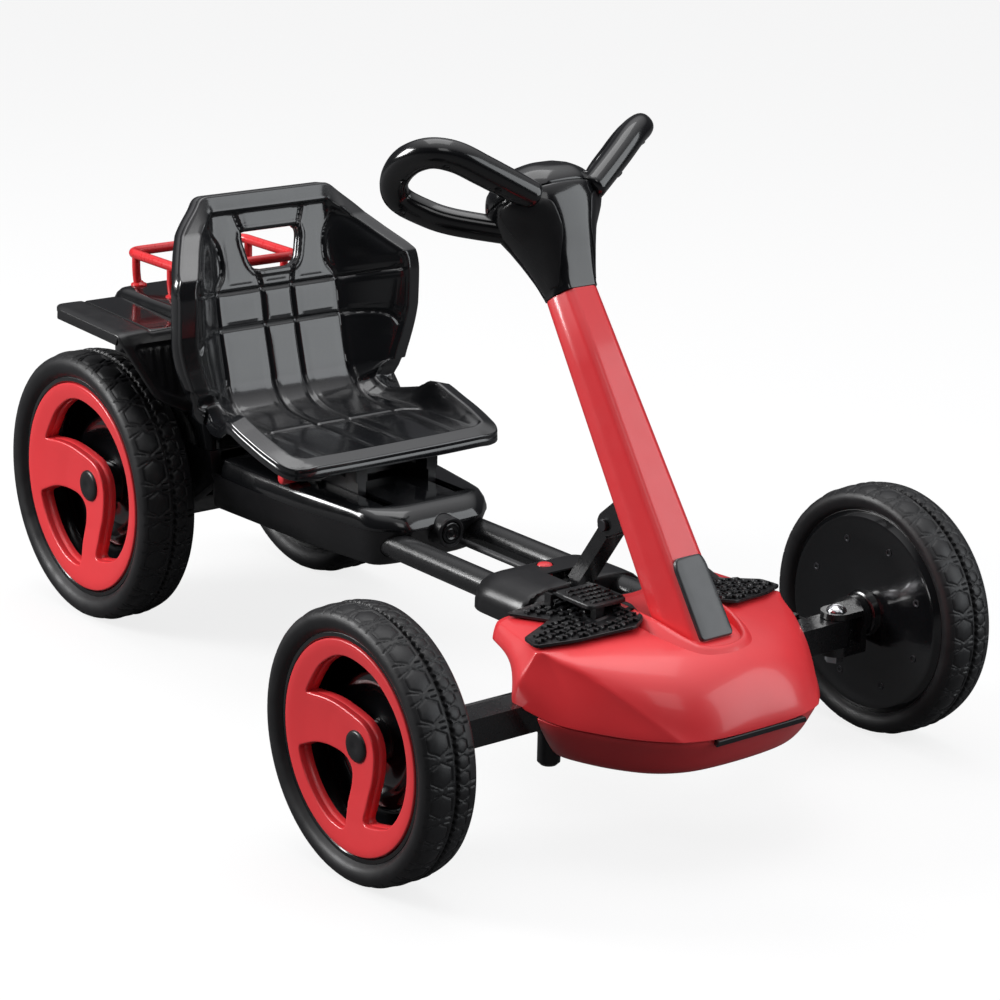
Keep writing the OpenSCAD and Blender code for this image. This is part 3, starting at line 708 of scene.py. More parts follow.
def tyre(centre, scale):
    turns = REPEATS * 30
    wall = curve(SIDE_WALL, 4)
    tread_x = np.linspace(-SHOULDER_X, SHOULDER_X, 62)[1:-1]
    crown = 124.0 + 3.0 * (1 - (np.abs(tread_x) / SHOULDER_X) ** 3.2)
    section = np.vstack([wall, np.c_[crown, tread_x], wall[::-1] * [1, -1]])
    angles = np.arange(turns) * 2 * math.pi / turns

    def around(radius, x, angle):
        return np.stack([centre[0] + scale * x, centre[1] + scale * radius * np.cos(angle),
                         centre[2] + scale * radius * np.sin(angle)], -1).reshape(-1, 3)

    angle, x = np.meshgrid(angles, section[:, 1], indexing="ij")
    radius = np.tile(section[:, 0], (turns, 1))
    radius = radius - 1.3 * tread_depth(angle * WHEEL_RADIUS, x) * (radius > 115)
    outer = around(radius, x, angle)
    lip_angle, lip_x = np.meshgrid(angles, [LIP_X, -LIP_X], indexing="ij")
    points = np.vstack([outer, around(LIP_RADIUS, lip_x, lip_angle)])
    count, lip = len(section), len(outer)
    i = np.arange(turns)[:, None]
    j = (i + 1) % turns
    k = np.arange(count - 1)[None]
    faces = np.stack([i * count + k, i * count + k + 1, j * count + k + 1, j * count + k], 2)
    faces = faces.reshape(-1, 4).tolist()
    for a in range(turns):
        b = (a + 1) % turns
        lip_a, lip_b = lip + 2 * a, lip + 2 * b
        faces.append((a * count + count - 1, lip_a, lip_b, b * count + count - 1))
        faces.append((lip_a, lip_a + 1, lip_b + 1, lip_b))
        faces.append((lip_a + 1, a * count, b * count, lip_b + 1))
    return points, faces


def rim_screws(centre, scale, side):
    screws = []
    for k in range(8):
        angle, radius = math.radians(22.5 + 45 * k), 76 * scale
        at = (centre[0] - side * 24.6 * scale, centre[1] + radius * math.cos(angle),
              centre[2] + radius * math.sin(angle))
        screws.append(revolve(RIM_SCREW, 20, at, "x", side))
    return merge(*screws)


def wheel_cover(centre, scale, side):
    def place(x, y, height):
        return np.c_[centre[0] + side * scale * height, centre[1] - scale * x,
                     centre[2] + scale * y]

    def face(points, _inset=None):
        return lookup(np.hypot(points[:, 0], points[:, 1]), DISH)

    circle = np.array([(COVER_RADIUS * math.cos(t), COVER_RADIUS * math.sin(t))
                       for t in np.linspace(0, 2 * math.pi, 240, endpoint=False)])
    windows = [curve(w, 5, closed=True) for w in WINDOWS]
    shapes = [plate([circle, *windows], 2.4, face, edge=1.6, wall=7.5, place=place)]
    for window in windows:
        loop = resample(window, step=2.4)
        away = outward(loop)
        rings = []
        for out_by, rise in WINDOW_LIP:
            ring = loop + away * out_by
            rings.append(place(ring[:, 0], ring[:, 1], face(loop) + rise))
        shapes.append(ring_band(rings))
    return merge(*shapes)


def wheel(end, scale, bore, side, hand, centre):
    tag, body = f"{end}_{hand}", f"{end}_wheel_{hand}"
    part(tag + "_tyre_tread", tyre(centre, scale), "tyre", body,
         (f"{end}_tyre_{hand}",), sharp=50)
    profile = np.array(RIM, float) * scale
    profile[[0, -1], 0] = bore
    part(tag + "_rim_moulding", revolve(profile, 128, centre, "x", side), "gloss", body,
         (f"{end}_rim_{hand}",), sharp=40)
    part(tag + "_rim_screws", rim_screws(centre, scale, side), "dark", body,
         sharp=40)
    part(tag + "_wheel_cover", wheel_cover(centre, scale, side), "red", body,
         (f"{end}_cover_{hand}",), sharp=48)
    part(tag + "_hub_cap", revolve(np.array(HUB_CAP) * scale, 64, centre, "x", side), "satin",
         body, sharp=40)


# end, scale, half of the track, axle's y, bore radius
for end, scale, half_track, axle_y, bore in (("front", 1.0, 317.5, 0.0, 6.06),
                                             ("rear", 1.18, 147.5, 750.4, 8.06)):
    for side, hand in SIDES:
        wheel(end, scale, bore, side, hand, (side * half_track, axle_y, WHEEL_RADIUS * scale))

# ------------------------------------------------------------------ seat
# The shell is drawn flat: x across, and the length along its middle line from the front
# edge, over the pan and up the back. Heights stand towards the sitter.
LEAN = math.radians(19.6)
BACK_FOOT = np.array([561.0, 259.0])
BACK_UP = np.array([math.sin(LEAN), math.cos(LEAN)])
BACK_FORWARD = np.array([-math.cos(LEAN), math.sin(LEAN)])


def back_point(up, forward):
    """(y, z) at a distance up the leaning back and forward of it."""
    return tuple(BACK_FOOT + BACK_UP * up + BACK_FORWARD * forward)


SPINE = Profile(
    [(386, 251.5), (400, 252.3), (430, 253.4), (470, 254), (515, 254), (545, 254.8),
     (565, 257.5), (579, 263), (589, 272), (596, 283)]
    + [back_point(*p) for p in ((46, -24), (92, -20), (131, -14.5), (165, -10.5), (200, -6),
                                (225, -2), (236, 0))], 12)
pan = SPINE.at


def back(up):
    return pan(*back_point(up, 0))


SEAT_END = SPINE.end + 1.5
# half outline: x, length along, corner radius
SEAT_HALF = np.array([
    (60, 0.5, 30), (112, 2.5, 22), (130, 7, 14), (138, 20, 14), (142, 52, 30),
    (142, 108, 30), (137, 135, 20), (127, pan(548, 255), 18), (119, pan(572, 259), 16),
    (117.5, pan(585, 268), 14), (121, back(10) + 4, 14), (134, back(30) + 6, 20),
    (148, back(60), 22), (154, back(85), 22), (154, back(152), 16), (113, back(207), 18),
    (92, back(226), 10), (82, SEAT_END, 10), (40, SEAT_END, 20)])
seat_outline = mirrored(SEAT_HALF[:, :2], SEAT_HALF[:, 2])
hand_hole = rounded(
    [(-36, back(190) + 4), (36, back(190) + 4), (37, back(190) - 6), (31, back(165) - 3),
     (24, back(165) - 11), (-24, back(165) - 11), (-31, back(165) - 3), (-37, back(190) - 6)],
    [6, 6, 8, 10, 8, 8, 10, 8])
# tables by length along: height of the side bolsters, x where they start, half width
BOLSTER = [(0, -2), (14, 0), (50, 9), (85, 18), (108, 25), (120, 24), (135, 15),
           (pan(560, 257), 6), (pan(585, 268), 8), (back(30), 22), (back(60), 34),
           (back(92), 44), (back(131), 53), (back(152), 55), (back(165), 45),
           (back(180), 31), (back(200), 14), (SEAT_END, 0)]
BOLSTER_START = [(0, 110), (120, 106), (pan(560, 257), 88), (back(30), 76), (back(60), 72),
                 (SEAT_END, 66)]
HALF_WIDTH = [(0, 135), (20, 138), (52, 142), (108, 142), (135, 137), (pan(548, 255), 127),
              (pan(572, 259), 119), (back(10) + 4, 121), (back(30) + 6, 134),
              (back(60), 148), (back(85), 154), (back(152), 154), (back(207), 113),
              (back(226), 92), (SEAT_END, 84)]


def seat_grooves():
    outer = [(83, SEAT_END - 16), (78, back(200)), (69, back(190) - 8), (66, back(165)),
             (68, back(150)), (77, back(131)), (78, back(92)), (78, back(46)),
             (80, pan(585, 268)), (80, pan(545, 255)), (80, 24)]
    inner = [(24, back(165) - 11), (19.5, back(131)), (19.5, back(92)), (19.5, back(46)),
             (20, pan(585, 268)), (20, pan(545, 255)), (20, 22)]
    lines = [curve(outer, 8), curve(inner, 8),
             np.array([(45, SEAT_END - 16), (36, back(190) + 4)], float)]
    lines += [line * [-1, 1] for line in lines]
    # across the back, high and low, then across the pan
    high, low, front = back(131), back(92), pan(513, 254)
    reach = lookup(high, HALF_WIDTH) - 22
    lines.append(np.array([(-reach, high + 3), (-80, high), (80, high), (reach, high + 3)]))
    reach = lookup(low, HALF_WIDTH) - 22
    lines.append(curve([(-reach, low - 24), (-118, low - 7), (-95, low - 1), (-70, low),
                        (0, low), (70, low), (95, low - 1), (118, low - 7),
                        (reach, low - 24)], 6))
    lines.append(curve([(-112, front - 20), (-100, front - 6), (-80, front), (0, front + 1),
                        (80, front), (100, front - 6), (112, front - 20)], 6))
    return lines


GROOVES = seat_grooves()


def seat_top(points, _inset=None):
    x, along = np.abs(points[:, 0]), points[:, 1]
    inset, _ = inset_of(points, [seat_outline])
    full_x = np.maximum(lookup(along, HALF_WIDTH) - 18, 92)
    start_x = np.minimum(lookup(along, BOLSTER_START), full_x - 16)
    height = lookup(along, BOLSTER) * smooth(x, start_x, full_x) ** 1.1
    # raised border with a step down to the field inside it
    height = height + 3.6 - 3.6 * smooth(inset, 17, 21.5)
    height = height - 5.0 * (1 - np.clip(inset, 0, 16.5) / 16.5)
    off = np.full(len(points), 9e9)
    for line in GROOVES:
        off = np.minimum(off, line_distance(points, line))
    groove = bell(off, 1.5) * 2.4 + 0.9 * bell(off, 8.0) - 0.3 * bell(off - 3.8, 1.4)
    height = height - groove * smooth(inset, 19, 23)
    # bead round the hand hole
    hole, _ = inset_of(points, [hand_hole])
    return height + 1.2 * bell(-hole - 4.5, 2.2) * (hole < 0)


def seat_skirt(loop, away, depth):
    """Turned-down edge; away points from the shell's material."""
    rim = seat_top(loop - away * 2.2)
    rings = []
    for out_by, drop in ((-0.6, -4.5), (0.0, -5.0), (0.5, -depth + 1), (0.2, -depth),
                         (-1.8, -depth), (-2.4, -depth + 1), (-2.6, -4.0)):
        ring = loop + away * out_by
        rings.append(SPINE.place(ring[:, 0], ring[:, 1], rim + drop))
    return ring_band(rings)


seat_step = 1.7
seat_sheet = plate([seat_outline, hand_hole], seat_step, seat_top, edge=2.2, wall=6.0,
                   place=SPINE.place, arc=3)
edge_loop, hole_loop = resample(seat_outline, step=4), resample(hand_hole, step=3)
edge_depth = lookup(edge_loop[:, 1],
                    [(0, 13), (130, 14), (back(30), 16), (back(60), 20), (back(200), 17)])
part("seat_bucket",
     merge(seat_sheet, seat_skirt(edge_loop, outward(edge_loop), edge_depth),
           seat_skirt(hole_loop, -outward(hole_loop), 11.0)),
     "seat", "seat", ("seat_shell",), sharp=60)
refine("seat_bracket", "satin", 0.8)
refine("seat_screws", "steel", 0.4)
# (radius, x)
SEAT_KNOB = [(0.01, -98.3), (3.8, -98.2), (5.4, -97.4), (6.3, -96.0), (6.4, -78),
             (6.0, -76.2), (3.0, -75.9), (2.9, -62.2), (0.01, -62)]
part("seat_release_knob", revolve(SEAT_KNOB, 40, (0, 468, 216.6)), "red", "seat_lock_knob",
     ("seat_lock_knob",))

# ------------------------------------------------------------------ steering column
# The column's frame leans back by RAKE: x across, y to the rear, z up along the column.
RAKE = math.radians(34)
COLUMN_Y, COLUMN_Z = -37.6, 243.1      # its origin
COLUMN_TOP = 274.0
TAPER_FOOT = -80.0                     # the taper and the panel start here
# half sections at the foot and at the top: (x, y)
FOOT_SECTION = np.array([(18, -22.0), (24, -17.5), (33, 2), (33, 18), (25, 27)])
TOP_SECTION = np.array([(12, -16.0), (18, -11.8), (24.5, 0), (25.5, 12), (20, 20)])


def column_frame(points):
    points = np.atleast_2d(np.array(points, float))
    x, y, z = points.T
    c, s = math.cos(RAKE), math.sin(RAKE)
    return np.c_[x, COLUMN_Y + y * c + z * s, COLUMN_Z - y * s + z * c]


def column_ring(z, scale=1.0):
    t = (z - TAPER_FOOT) / (COLUMN_TOP - TAPER_FOOT)
    half = (1 - t) * FOOT_SECTION + t * TOP_SECTION
    section = resample(mirrored(half, [1.6, 1.6, 3, 4, 4], 4), count=120)
    return column_frame(level(section * scale, z))


part("column_tube_cover",
     loft([column_ring(z) for z in (-86, -40, 40, 120, 200, COLUMN_TOP - 1.2)]
          + [column_ring(COLUMN_TOP, 0.975)]),
     "red", "front_chassis", ("column",), sharp=30)

# (y, z) in the column's frame
EAR = rounded([(21, 48), (58, 50), (67, 56), (67, 69), (60, 74), (21, 78)], 4, 4)
ears = [loft([column_frame(np.c_[np.full(len(EAR), side * x), EAR]) for x in (11.8, 15.0)])
        for side, _ in SIDES]
part("column_strut_ears", merge(*ears), "paint", "front_chassis", bevel=0.8)


def panel_place(x, y, height):
    """Onto the tapering front face of the column."""
    share = (y - TAPER_FOOT) / (COLUMN_TOP - TAPER_FOOT)
    return column_frame(np.c_[x, -22.0 + share * 6.0 - height + 0.6, y])


panel_outline = rounded([(-19.5, -80), (19.5, -80), (18.6, -8), (15.5, 0.5), (-15.5, 0.5),
                         (-18.6, -8)], [4, 4, 6, 4, 4, 6])
part("column_foot_panel",
     plate([panel_outline], 1.8,
           lambda p, inset: 3.6 + 1.3 * (1 - (p[:, 0] / 21) ** 2) + 0.4 * smooth(inset, 0, 8),
           edge=1.8, wall=4.0, place=panel_place),
     "panel", "front_chassis", ("column_panel",), sharp=50)

# ------------------------------------------------------------------ steering head
HEAD_POINTS = 96
# height over the column, half section (x, y), corner radius
HEAD_SECTIONS = [
    (0.0, [(17, -16), (25, -1), (26, 12), (21, 21)], 4),
    (6, [(17.5, -17), (25.6, -2), (26.6, 12.5), (22, 22)], 5),
    (28, [(19.5, -24), (30, -8), (33, 10), (28, 24.5)], 8),
    (55, [(23, -34), (39, -16), (44, 10), (36, 30)], 12),
    (78, [(30, -41), (52, -23), (56, 9), (44, 36)], 14),
    (90, [(31.5, -42), (55, -24), (58, 9), (45, 37)], 14),
    (102, [(31, -40.5), (55, -22), (57, 8), (43, 36)], 15),
    (112, [(29, -36), (51, -18), (52, 8), (40, 32)], 16),
    (120, [(24, -28), (42, -13), (42, 8), (33, 26)], 16),
    (126, [(16, -19), (29, -8), (29, 6), (22, 19)], 12),
    (129.5, [(7, -9), (13, -3), (13, 3), (9, 9)], 6),
]
# even heights, and close ones at the lid line
HEAD_Z = np.unique(np.concatenate([np.linspace(0, 128.5, 48), [93.8, 94.4, 95.0, 95.6, 96.2]]))


def head_rings():
    heights = [row[0] for row in HEAD_SECTIONS]
    sections = [resample(mirrored(half, radius, 6), count=HEAD_POINTS)
                for _, half, radius in HEAD_SECTIONS]
    last = len(heights) - 1
    rings = []
    for z in HEAD_Z:
        i = max(0, min(np.searchsorted(heights, z) - 1, last - 1))
        t = (z - heights[i]) / (heights[i + 1] - heights[i])
        p0, p1, p2, p3 = (sections[k] for k in (max(i - 1, 0), i, i + 1, min(i + 2, last)))
        # three parts curved, one part straight
        section = 0.75 * spline(p0, p1, p2, p3, t) + 0.25 * (p1 * (1 - t) + p2 * t)
        x, y = section.T
        scale = 1 - 0.030 * bell(z - 95.0, 0.8) - 0.008 * smooth(z, 94.5, 95.5)
        bulge = 5.0 * smooth(z, 4, 70) * np.clip(1 - (x / 34) ** 2, 0, 1) * (y < 0) \
            * (1 - 0.5 * smooth(z, 100, 128))
        rings.append(column_frame(level(np.c_[x * scale, y * scale - bulge],
                                        COLUMN_TOP + 0.6 + z)))
    return rings


HEAD_RINGS = head_rings()
part("steering_head_cover", loft(HEAD_RINGS), "gloss", "steering_head",
     ("head_shell",), sharp=45)


def head_place(side):
    """Maps onto the head's side from the share of the way round and the height."""
    def place(shares, heights, offsets):
        out = []
        for share, z, offset in zip(shares, heights, offsets):
            i = int(np.clip(np.searchsorted(HEAD_Z, z) - 1, 0, len(HEAD_Z) - 2))
            t = (z - HEAD_Z[i]) / (HEAD_Z[i + 1] - HEAD_Z[i])
            low, high = HEAD_RINGS[i], HEAD_RINGS[i + 1]
            position = (share * HEAD_POINTS) % HEAD_POINTS
            k = int(position)
            f = position - k

            def at(m):
                m = m % HEAD_POINTS
                return (1 - t) * low[m] + t * high[m]

            normal = unit(np.cross(at(k + 2) - at(k - 1), high[k] - low[k]))
            if normal[0] < 0:
                normal = -normal
            point = (1 - f) * at(k) + f * at(k + 1) + normal * offset
            out.append((side * point[0], point[1], point[2]))
        return np.array(out)
    return place


# inlay's outline: (share of the way round from the front, height over the column)
INLAY = rounded([(0.085, 6), (0.16, 6), (0.185, 34), (0.20, 66), (0.185, 88), (0.075, 90),
                 (0.02, 78), (0.022, 50), (0.055, 22)], 0.04, 4)
SHARE_TO_MM = [300, 1]  # brings shares near to mm for even spacing
INLAY_LEVELS = ((1.0, -0.4), (1.0, 0.7), (0.985, 1.1), (0.95, 1.2), (0.8, 1.3), (0.6, 1.3),
                (0.4, 1.3), (0.2, 1.3), (0.02, 1.3))
inlay = resample(INLAY * SHARE_TO_MM, count=90) / SHARE_TO_MM
for _ in range(3):
    inlay = (np.roll(inlay, 1, 0) + 2 * inlay + np.roll(inlay, -1, 0)) / 4
for side, hand in SIDES:
    part("head_inlay_" + hand, raised(inlay, INLAY_LEVELS, head_place(side)), "satin",
         "steering_head", sharp=40)

# ------------------------------------------------------------------ handle loops
# middle line of the left loop, x, y in the column's frame and height over its top
LOOP_LINE = [(36, -33, 89), (57, -34, 103), (82, -34.5, 120), (105, -33.5, 136),
             (124, -26, 146), (133, -6, 151), (134.5, 16, 150), (131, 36, 144),
             (121, 49, 134), (103, 47, 118), (80, 36, 99), (30, 10, 70)]
LOOP_RADIUS = [(0, 13.6), (0.3, 14.2), (0.5, 13.4), (0.62, 12.2), (1.0, 11.8)]
LOOP_UP = (0, 0.56, 0.83)


def squarish(a, b):
    """Circle drawn out to a rounded square, a little deeper than wide."""
    a, b = (math.copysign(abs(v) ** 0.86, v) for v in (a, b))
    return a * 0.93, b * 1.10


for side, hand in SIDES:
    path = column_frame(curve([(side * x, y, z + COLUMN_TOP) for x, y, z in LOOP_LINE], 8))
    radius = lookup(np.linspace(0, 1, len(path)), LOOP_RADIUS)
    # rounded nose where the front arm meets the head
    start = unit(path[1] - path[0])
    path = np.vstack([path[0] - start * 5.0, path[0] - start * 4.2, path[0] - start * 2.4, path])
    radius = np.r_[6.0, 9.6, 12.4, radius]
    part("handle_loop_" + hand, tube(path, radius, 32, up=LOOP_UP, shape=squarish), "gloss",
         "steering_head", ("handle_loops",) if side < 0 else (), sharp=50)
    # screw bosses on the underside
    bosses = []
    for i in (14, 30, 52, 70):
        along = unit(path[i + 1] - path[i])
        up = np.array(LOOP_UP)
        up = unit(up - along * up.dot(along))
        seat_point = path[i] - up * 12.6
        bosses.append(tube([seat_point + up * rise for rise in (3, -0.9, -1.3, -0.4)],
                           [3.6, 3.6, 2.9, 1.7], 16, up=along))
    part("loop_screw_bosses_" + hand, merge(*bosses), "satin", "steering_head",
         sharp=40)
for row in (("handle_core", "satin", 0.8), ("steering_shaft", "steel", 0.5),
            ("column_bushes", "satin", 0.6), ("strut", "paint", 1.6, 3),
            ("strut_bolts", "dark", 0.8, 3)):
    refine(*row)


# ------------------------------------------------------------------ front shell
def cage(name, left, row_creases, station_creases, node):
    """A subdivided skin over stations by rows of points, with its mirror image.

    Creases are weights along a row, or across at a station, or functions of the other index.
    """
    stations = [[(-x, y, z) for x, y, z in row] for row in reversed(left)] + left
    rows, half = len(left[0]), len(left)
    faces = [(i * rows + j, i * rows + j + 1, (i + 1) * rows + j + 1, (i + 1) * rows + j)
             for i in range(len(stations) - 1) for j in range(rows - 1)]
    mesh = bpy.data.meshes.new(name)
    mesh.from_pydata(metres([p for row in stations for p in row]).tolist(), [], faces)
    mesh.update()
    obj = add_object(name, mesh)
    crease = mesh.attributes.new("crease_edge", "FLOAT", "EDGE")
    for edge in mesh.edges:
        (station_a, row_a), (station_b, row_b) = (divmod(v, rows) for v in edge.vertices)
        if row_a == row_b:
            first = min(station_a, station_b)
            other = half - 2 - first if first < half - 1 else first - half
            rule = row_creases.get(row_a, 0.0)
        else:
            station = half - 1 - station_a if station_a < half else station_a - half
            other = min(row_a, row_b)
            rule = station_creases.get(station, 0.0)
        crease.data[edge.index].value = rule(other) if callable(rule) else rule
    face_outward(mesh)
    subdivision = obj.modifiers.new("smooth", "SUBSURF")
    subdivision.levels = subdivision.render_levels = 3
    wall = obj.modifiers.new("wall", "SOLIDIFY")
    wall.thickness = 0.0028
    wall.offset = -1
    mesh.materials.append(MATERIALS["red"])
    mesh.shade_smooth()
    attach(obj, "front_chassis")
    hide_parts(node)


# Stations run from the front centre to the rear of the left wing.
# hood rows: from the parting line up to the middle
HOOD = [
    [(14, -166, 122.6), (14, -166, 128), (14, -162, 142), (14, -154, 158), (14, -142, 173),
     (14, -124, 184), (13, -102, 189), (12, -60, 196), (12, 20, 199)],
    [(46, -165.3, 122.6), (46.5, -165, 128), (50, -160, 142), (55, -150, 158),
     (60, -135, 173), (64, -112, 184), (50, -90, 191), (38, -55, 198), (34, 30, 199)],
    [(70, -159, 122.6), (72, -156, 128), (82, -145, 142), (93, -129, 157), (102, -109, 171),
     (108, -84, 182.5), (86, -66, 190.5), (58, -50, 197.3), (50, 34, 198)],
    [(84, -152, 122.6), (89, -146, 128), (102, -128, 142), (115, -106, 156),
     (126, -82, 169.5), (137, -54, 181.2), (112, -45, 189), (80, -38, 194.6), (66, 38, 196)],
    [(117, -122, 122.6), (118.5, -118, 128), (123, -101, 143), (129, -81, 158),
     (134.5, -60, 171.5), (142, -42, 182.6), (119, -37, 188.8), (92, -32, 193),
     (76, 40, 194.8)],
    [(140.5, -74.5, 122.6), (141, -71, 128), (141, -58, 146), (141, -46, 164),
     (143, -36, 178), (146, -30, 185.3), (130, -28, 188.0), (104, -24, 191.5),
     (86, 42, 193.6)],
    [(154, -49, 124), (154, -45, 129), (155, -36, 144), (153.5, -30, 160), (150.5, -27, 173),
     (148, -27, 184.9), (133, -20, 187.4), (112, -14, 190.5), (98, 46, 192)],
    [(158, 0, 130), (160, -4, 138), (162, -13, 153), (160, -16, 160), (155, -21, 171),
     (149.5, -24, 184.2), (133, -12, 187.6), (118, -2, 189.8), (106, 50, 191)],
    [(146, 12, 165), (147, 11, 167.5), (148, 10, 170), (147.5, 9, 173.5), (145, 8, 179),
     (141, 6, 184.6), (131, 14, 187.6), (121, 20, 189.3), (112, 52, 190.3)],
    [(136, 57, 169), (136.5, 57, 171), (136, 57, 174.5), (135, 57, 178.5), (133.5, 57, 183),
     (131, 57, 186.4), (126, 57, 188), (121, 56.5, 189.2), (116, 55, 189.8)],
]
cage("front_shell_hood", HOOD,
     {0: 1.0, 5: lambda station: 0.8 if station >= 5 else 0.1},
     {3: lambda row: 0.62 if row < 4 else 0.25 if row < 6 else 0.0,
      5: lambda row: 0.95 if row < 5 else 0.0,
      7: lambda row: 0.9 if row < 5 else 0.0},
     "shell_upper")
# skirt rows: from the parting line down
SKIRT = [
    [(14, -164.5, 121.4), (14, -164, 117), (14, -158, 108), (14, -150, 95), (14, -143, 85),
     (14, -138, 82)],
    [(52, -163.5, 121.4), (52, -163, 117), (55, -157, 108), (60, -148, 95), (62, -140, 85),
     (60, -135, 82)],
    [(83, -151, 121.4), (83, -150, 117), (86, -142, 108), (91, -131, 95), (93, -120, 85),
     (90, -115, 82)],
    [(116, -121, 121.4), (116, -119, 117), (116, -110, 108), (116, -99, 95), (116, -89, 85),
     (112, -85, 82)],
    [(139.5, -74.5, 121.4), (139, -73, 117), (137, -68, 108), (133, -62, 95),
     (129, -55, 85), (125, -52, 82)],
    [(152.5, -49.5, 122.6), (151, -48.5, 117), (147, -45, 108), (139, -42, 95),
     (133, -38, 85), (129, -36, 82)],
    [(154.5, -34, 124.2), (151.5, -33, 117), (146, -31, 108), (138, -30, 95),
     (131, -29, 85), (127, -28, 82)],
]
cage("front_shell_skirt", SKIRT, {0: 1.0, 5: 0.6}, {6: 1.0, 2: 0.25, 4: 0.2}, "shell_lower")

# Raised collar round the foot of the column: left half of its line, from the rear to the
# front centre, and its section as (outward, up)
COLLAR_LINE = [(33, 34, 198), (37, 10, 201.4), (38, -16, 202.4), (40, -44, 202.8),
               (39, -70, 200), (34, -94, 193.5), (24, -110, 188), (0, -116, 186)]
COLLAR_SECTION = [(13, -9), (8.5, -4.5), (4.5, -0.5), (1.8, 1.9), (-0.4, 2.1), (-2.0, 0.8),
                  (-3.4, -3.5), (-6.5, -9), (-9.5, -13), (13, -16)]
COLLAR_CENTRE = np.array([0, -40, 0.0])
path = curve([(-x, y, z) for x, y, z in COLLAR_LINE[:-1]] + COLLAR_LINE[::-1], 8)
rings = []
for point, along in zip(path, unit(np.gradient(path, axis=0))):
    out = unit(np.array([along[1], -along[0], 0.0]))
    if np.dot(out, point - COLLAR_CENTRE) < 0:
        out = -out
    up = np.cross(along, out)
    up *= np.sign(up[2])
    rings.append([point + out * a + up * b for a, b in COLLAR_SECTION])
part("shell_collar", loft(rings), "red", "front_chassis", sharp=60)

strip = [(x, y, z) for z, front_x in ((116.8, 56), (122.2, 53))
         for x, y in ((-front_x, -167.2), (front_x, -167.2), (52, -158), (-52, -158))]
part("bumper_strip_bar", hull(strip), "satin", "front_chassis",
     ("bumper_strip",), bevel=0.8)

# ------------------------------------------------------------------ foot rests
TILT = math.radians(7.4)            # the pads fall away outward
PAD_PIVOT_X, PAD_Z = 50, 200.25
PAD_PLAN = rounded([(34, 12), (34, 44), (124, 54), (106, 12), (147, -2), (151, -24),
                    (118, -42), (62, -60), (44, -50), (32, -18)],
                   [3, 3, 3, 3, 3, 4, 4, 4, 6, 3], 4)
PAD_CLEAT = rounded([(-4.6, 2.8), (4.6, 2.8), (3.4, -0.4), (5.0, -3.4), (2.0, -3.8),
                     (0.6, -0.8), (-0.6, -0.8), (-2.0, -3.8), (-5.0, -3.4), (-3.4, -0.4)],
                    0.7, 2) * 1.02
PAD_CLEAT_LEVELS = ((1.0, 2.4), (1.0, 4.4), (0.9, 5.0), (0.62, 5.2))
CLEAT_GAP = 9.8
PEDAL_AREA = (60, 82, -26, -4)      # x and y limits kept free of cleats


def pad_place(side):
    def place(x, y, height):
        x = x - PAD_PIVOT_X
        return np.c_[side * (PAD_PIVOT_X + x * math.cos(TILT) + height * math.sin(TILT)), y,
                     PAD_Z - x * math.sin(TILT) + height * math.cos(TILT)]
    return place


def pad_cleats(side):
    """Staggered rows of forked cleats, turned by -20, 0 or 20 degrees."""
    cleats = []
    for row, y in enumerate(np.arange(-57, 56, CLEAT_GAP)):
        for column, x in enumerate(np.arange(38, 158, CLEAT_GAP * 1.16)):
            turn = math.radians(20 * ((column + row) % 3 - 1))
            c, s = math.cos(turn), math.sin(turn)
            outline = PAD_CLEAT @ np.array([[c, s], [-s, c]]) \
                + [x + (row % 2) * CLEAT_GAP * 0.58, y]
            if inset_of(outline, [PAD_PLAN])[0].min() < 1.6:
                continue
            (left, near), (right, far) = outline.min(0), outline.max(0)
            x0, x1, y0, y1 = PEDAL_AREA
            if side < 0 and right > x0 and left < x1 and far > y0 and near < y1:
                continue
            cleats.append(raised(outline, PAD_CLEAT_LEVELS, pad_place(side)))
    return cleats


for side, hand in SIDES:
    loops = [PAD_PLAN]
    pedal_mounts = []
    if side < 0:
        # window for the pedal's post, and two ears for its hinge
        loops.append(rounded(rect(63.5, -21, 78.5, -9), 2, 3))
        pedal_mounts = [box((-40, 30, 201), (-36.6, 39, 211.8)),
                        box((-90, 30, 198), (-86.6, 39, 211.8))]
    pad = plate(loops, 2.2, lambda p, inset: 2.6 - 0.6 * smooth(inset, 1.5, 3.0)
                + 0.9 * (inset < 2.2), edge=0.7, wall=2.9, place=pad_place(side), arc=2)
    part("foot_rest_pad_" + hand, merge(pad, *pad_cleats(side), *pedal_mounts), "pad",
         "front_chassis", ("foot_pad_" + hand,), sharp=30)

# ------------------------------------------------------------------ accelerator pedal
PEDAL_CLEAT = rounded([(-3.6, 2.2), (3.6, 2.2), (4.2, -2.4), (1.4, -2.4), (0, 0.2),
                       (-1.4, -2.4), (-4.2, -2.4)], 0.6, 2)
HINGE_Y, HINGE_Z = 34, 208


def pedal_place(x, y, height):
    return np.c_[-x, y, 210.4 + height]


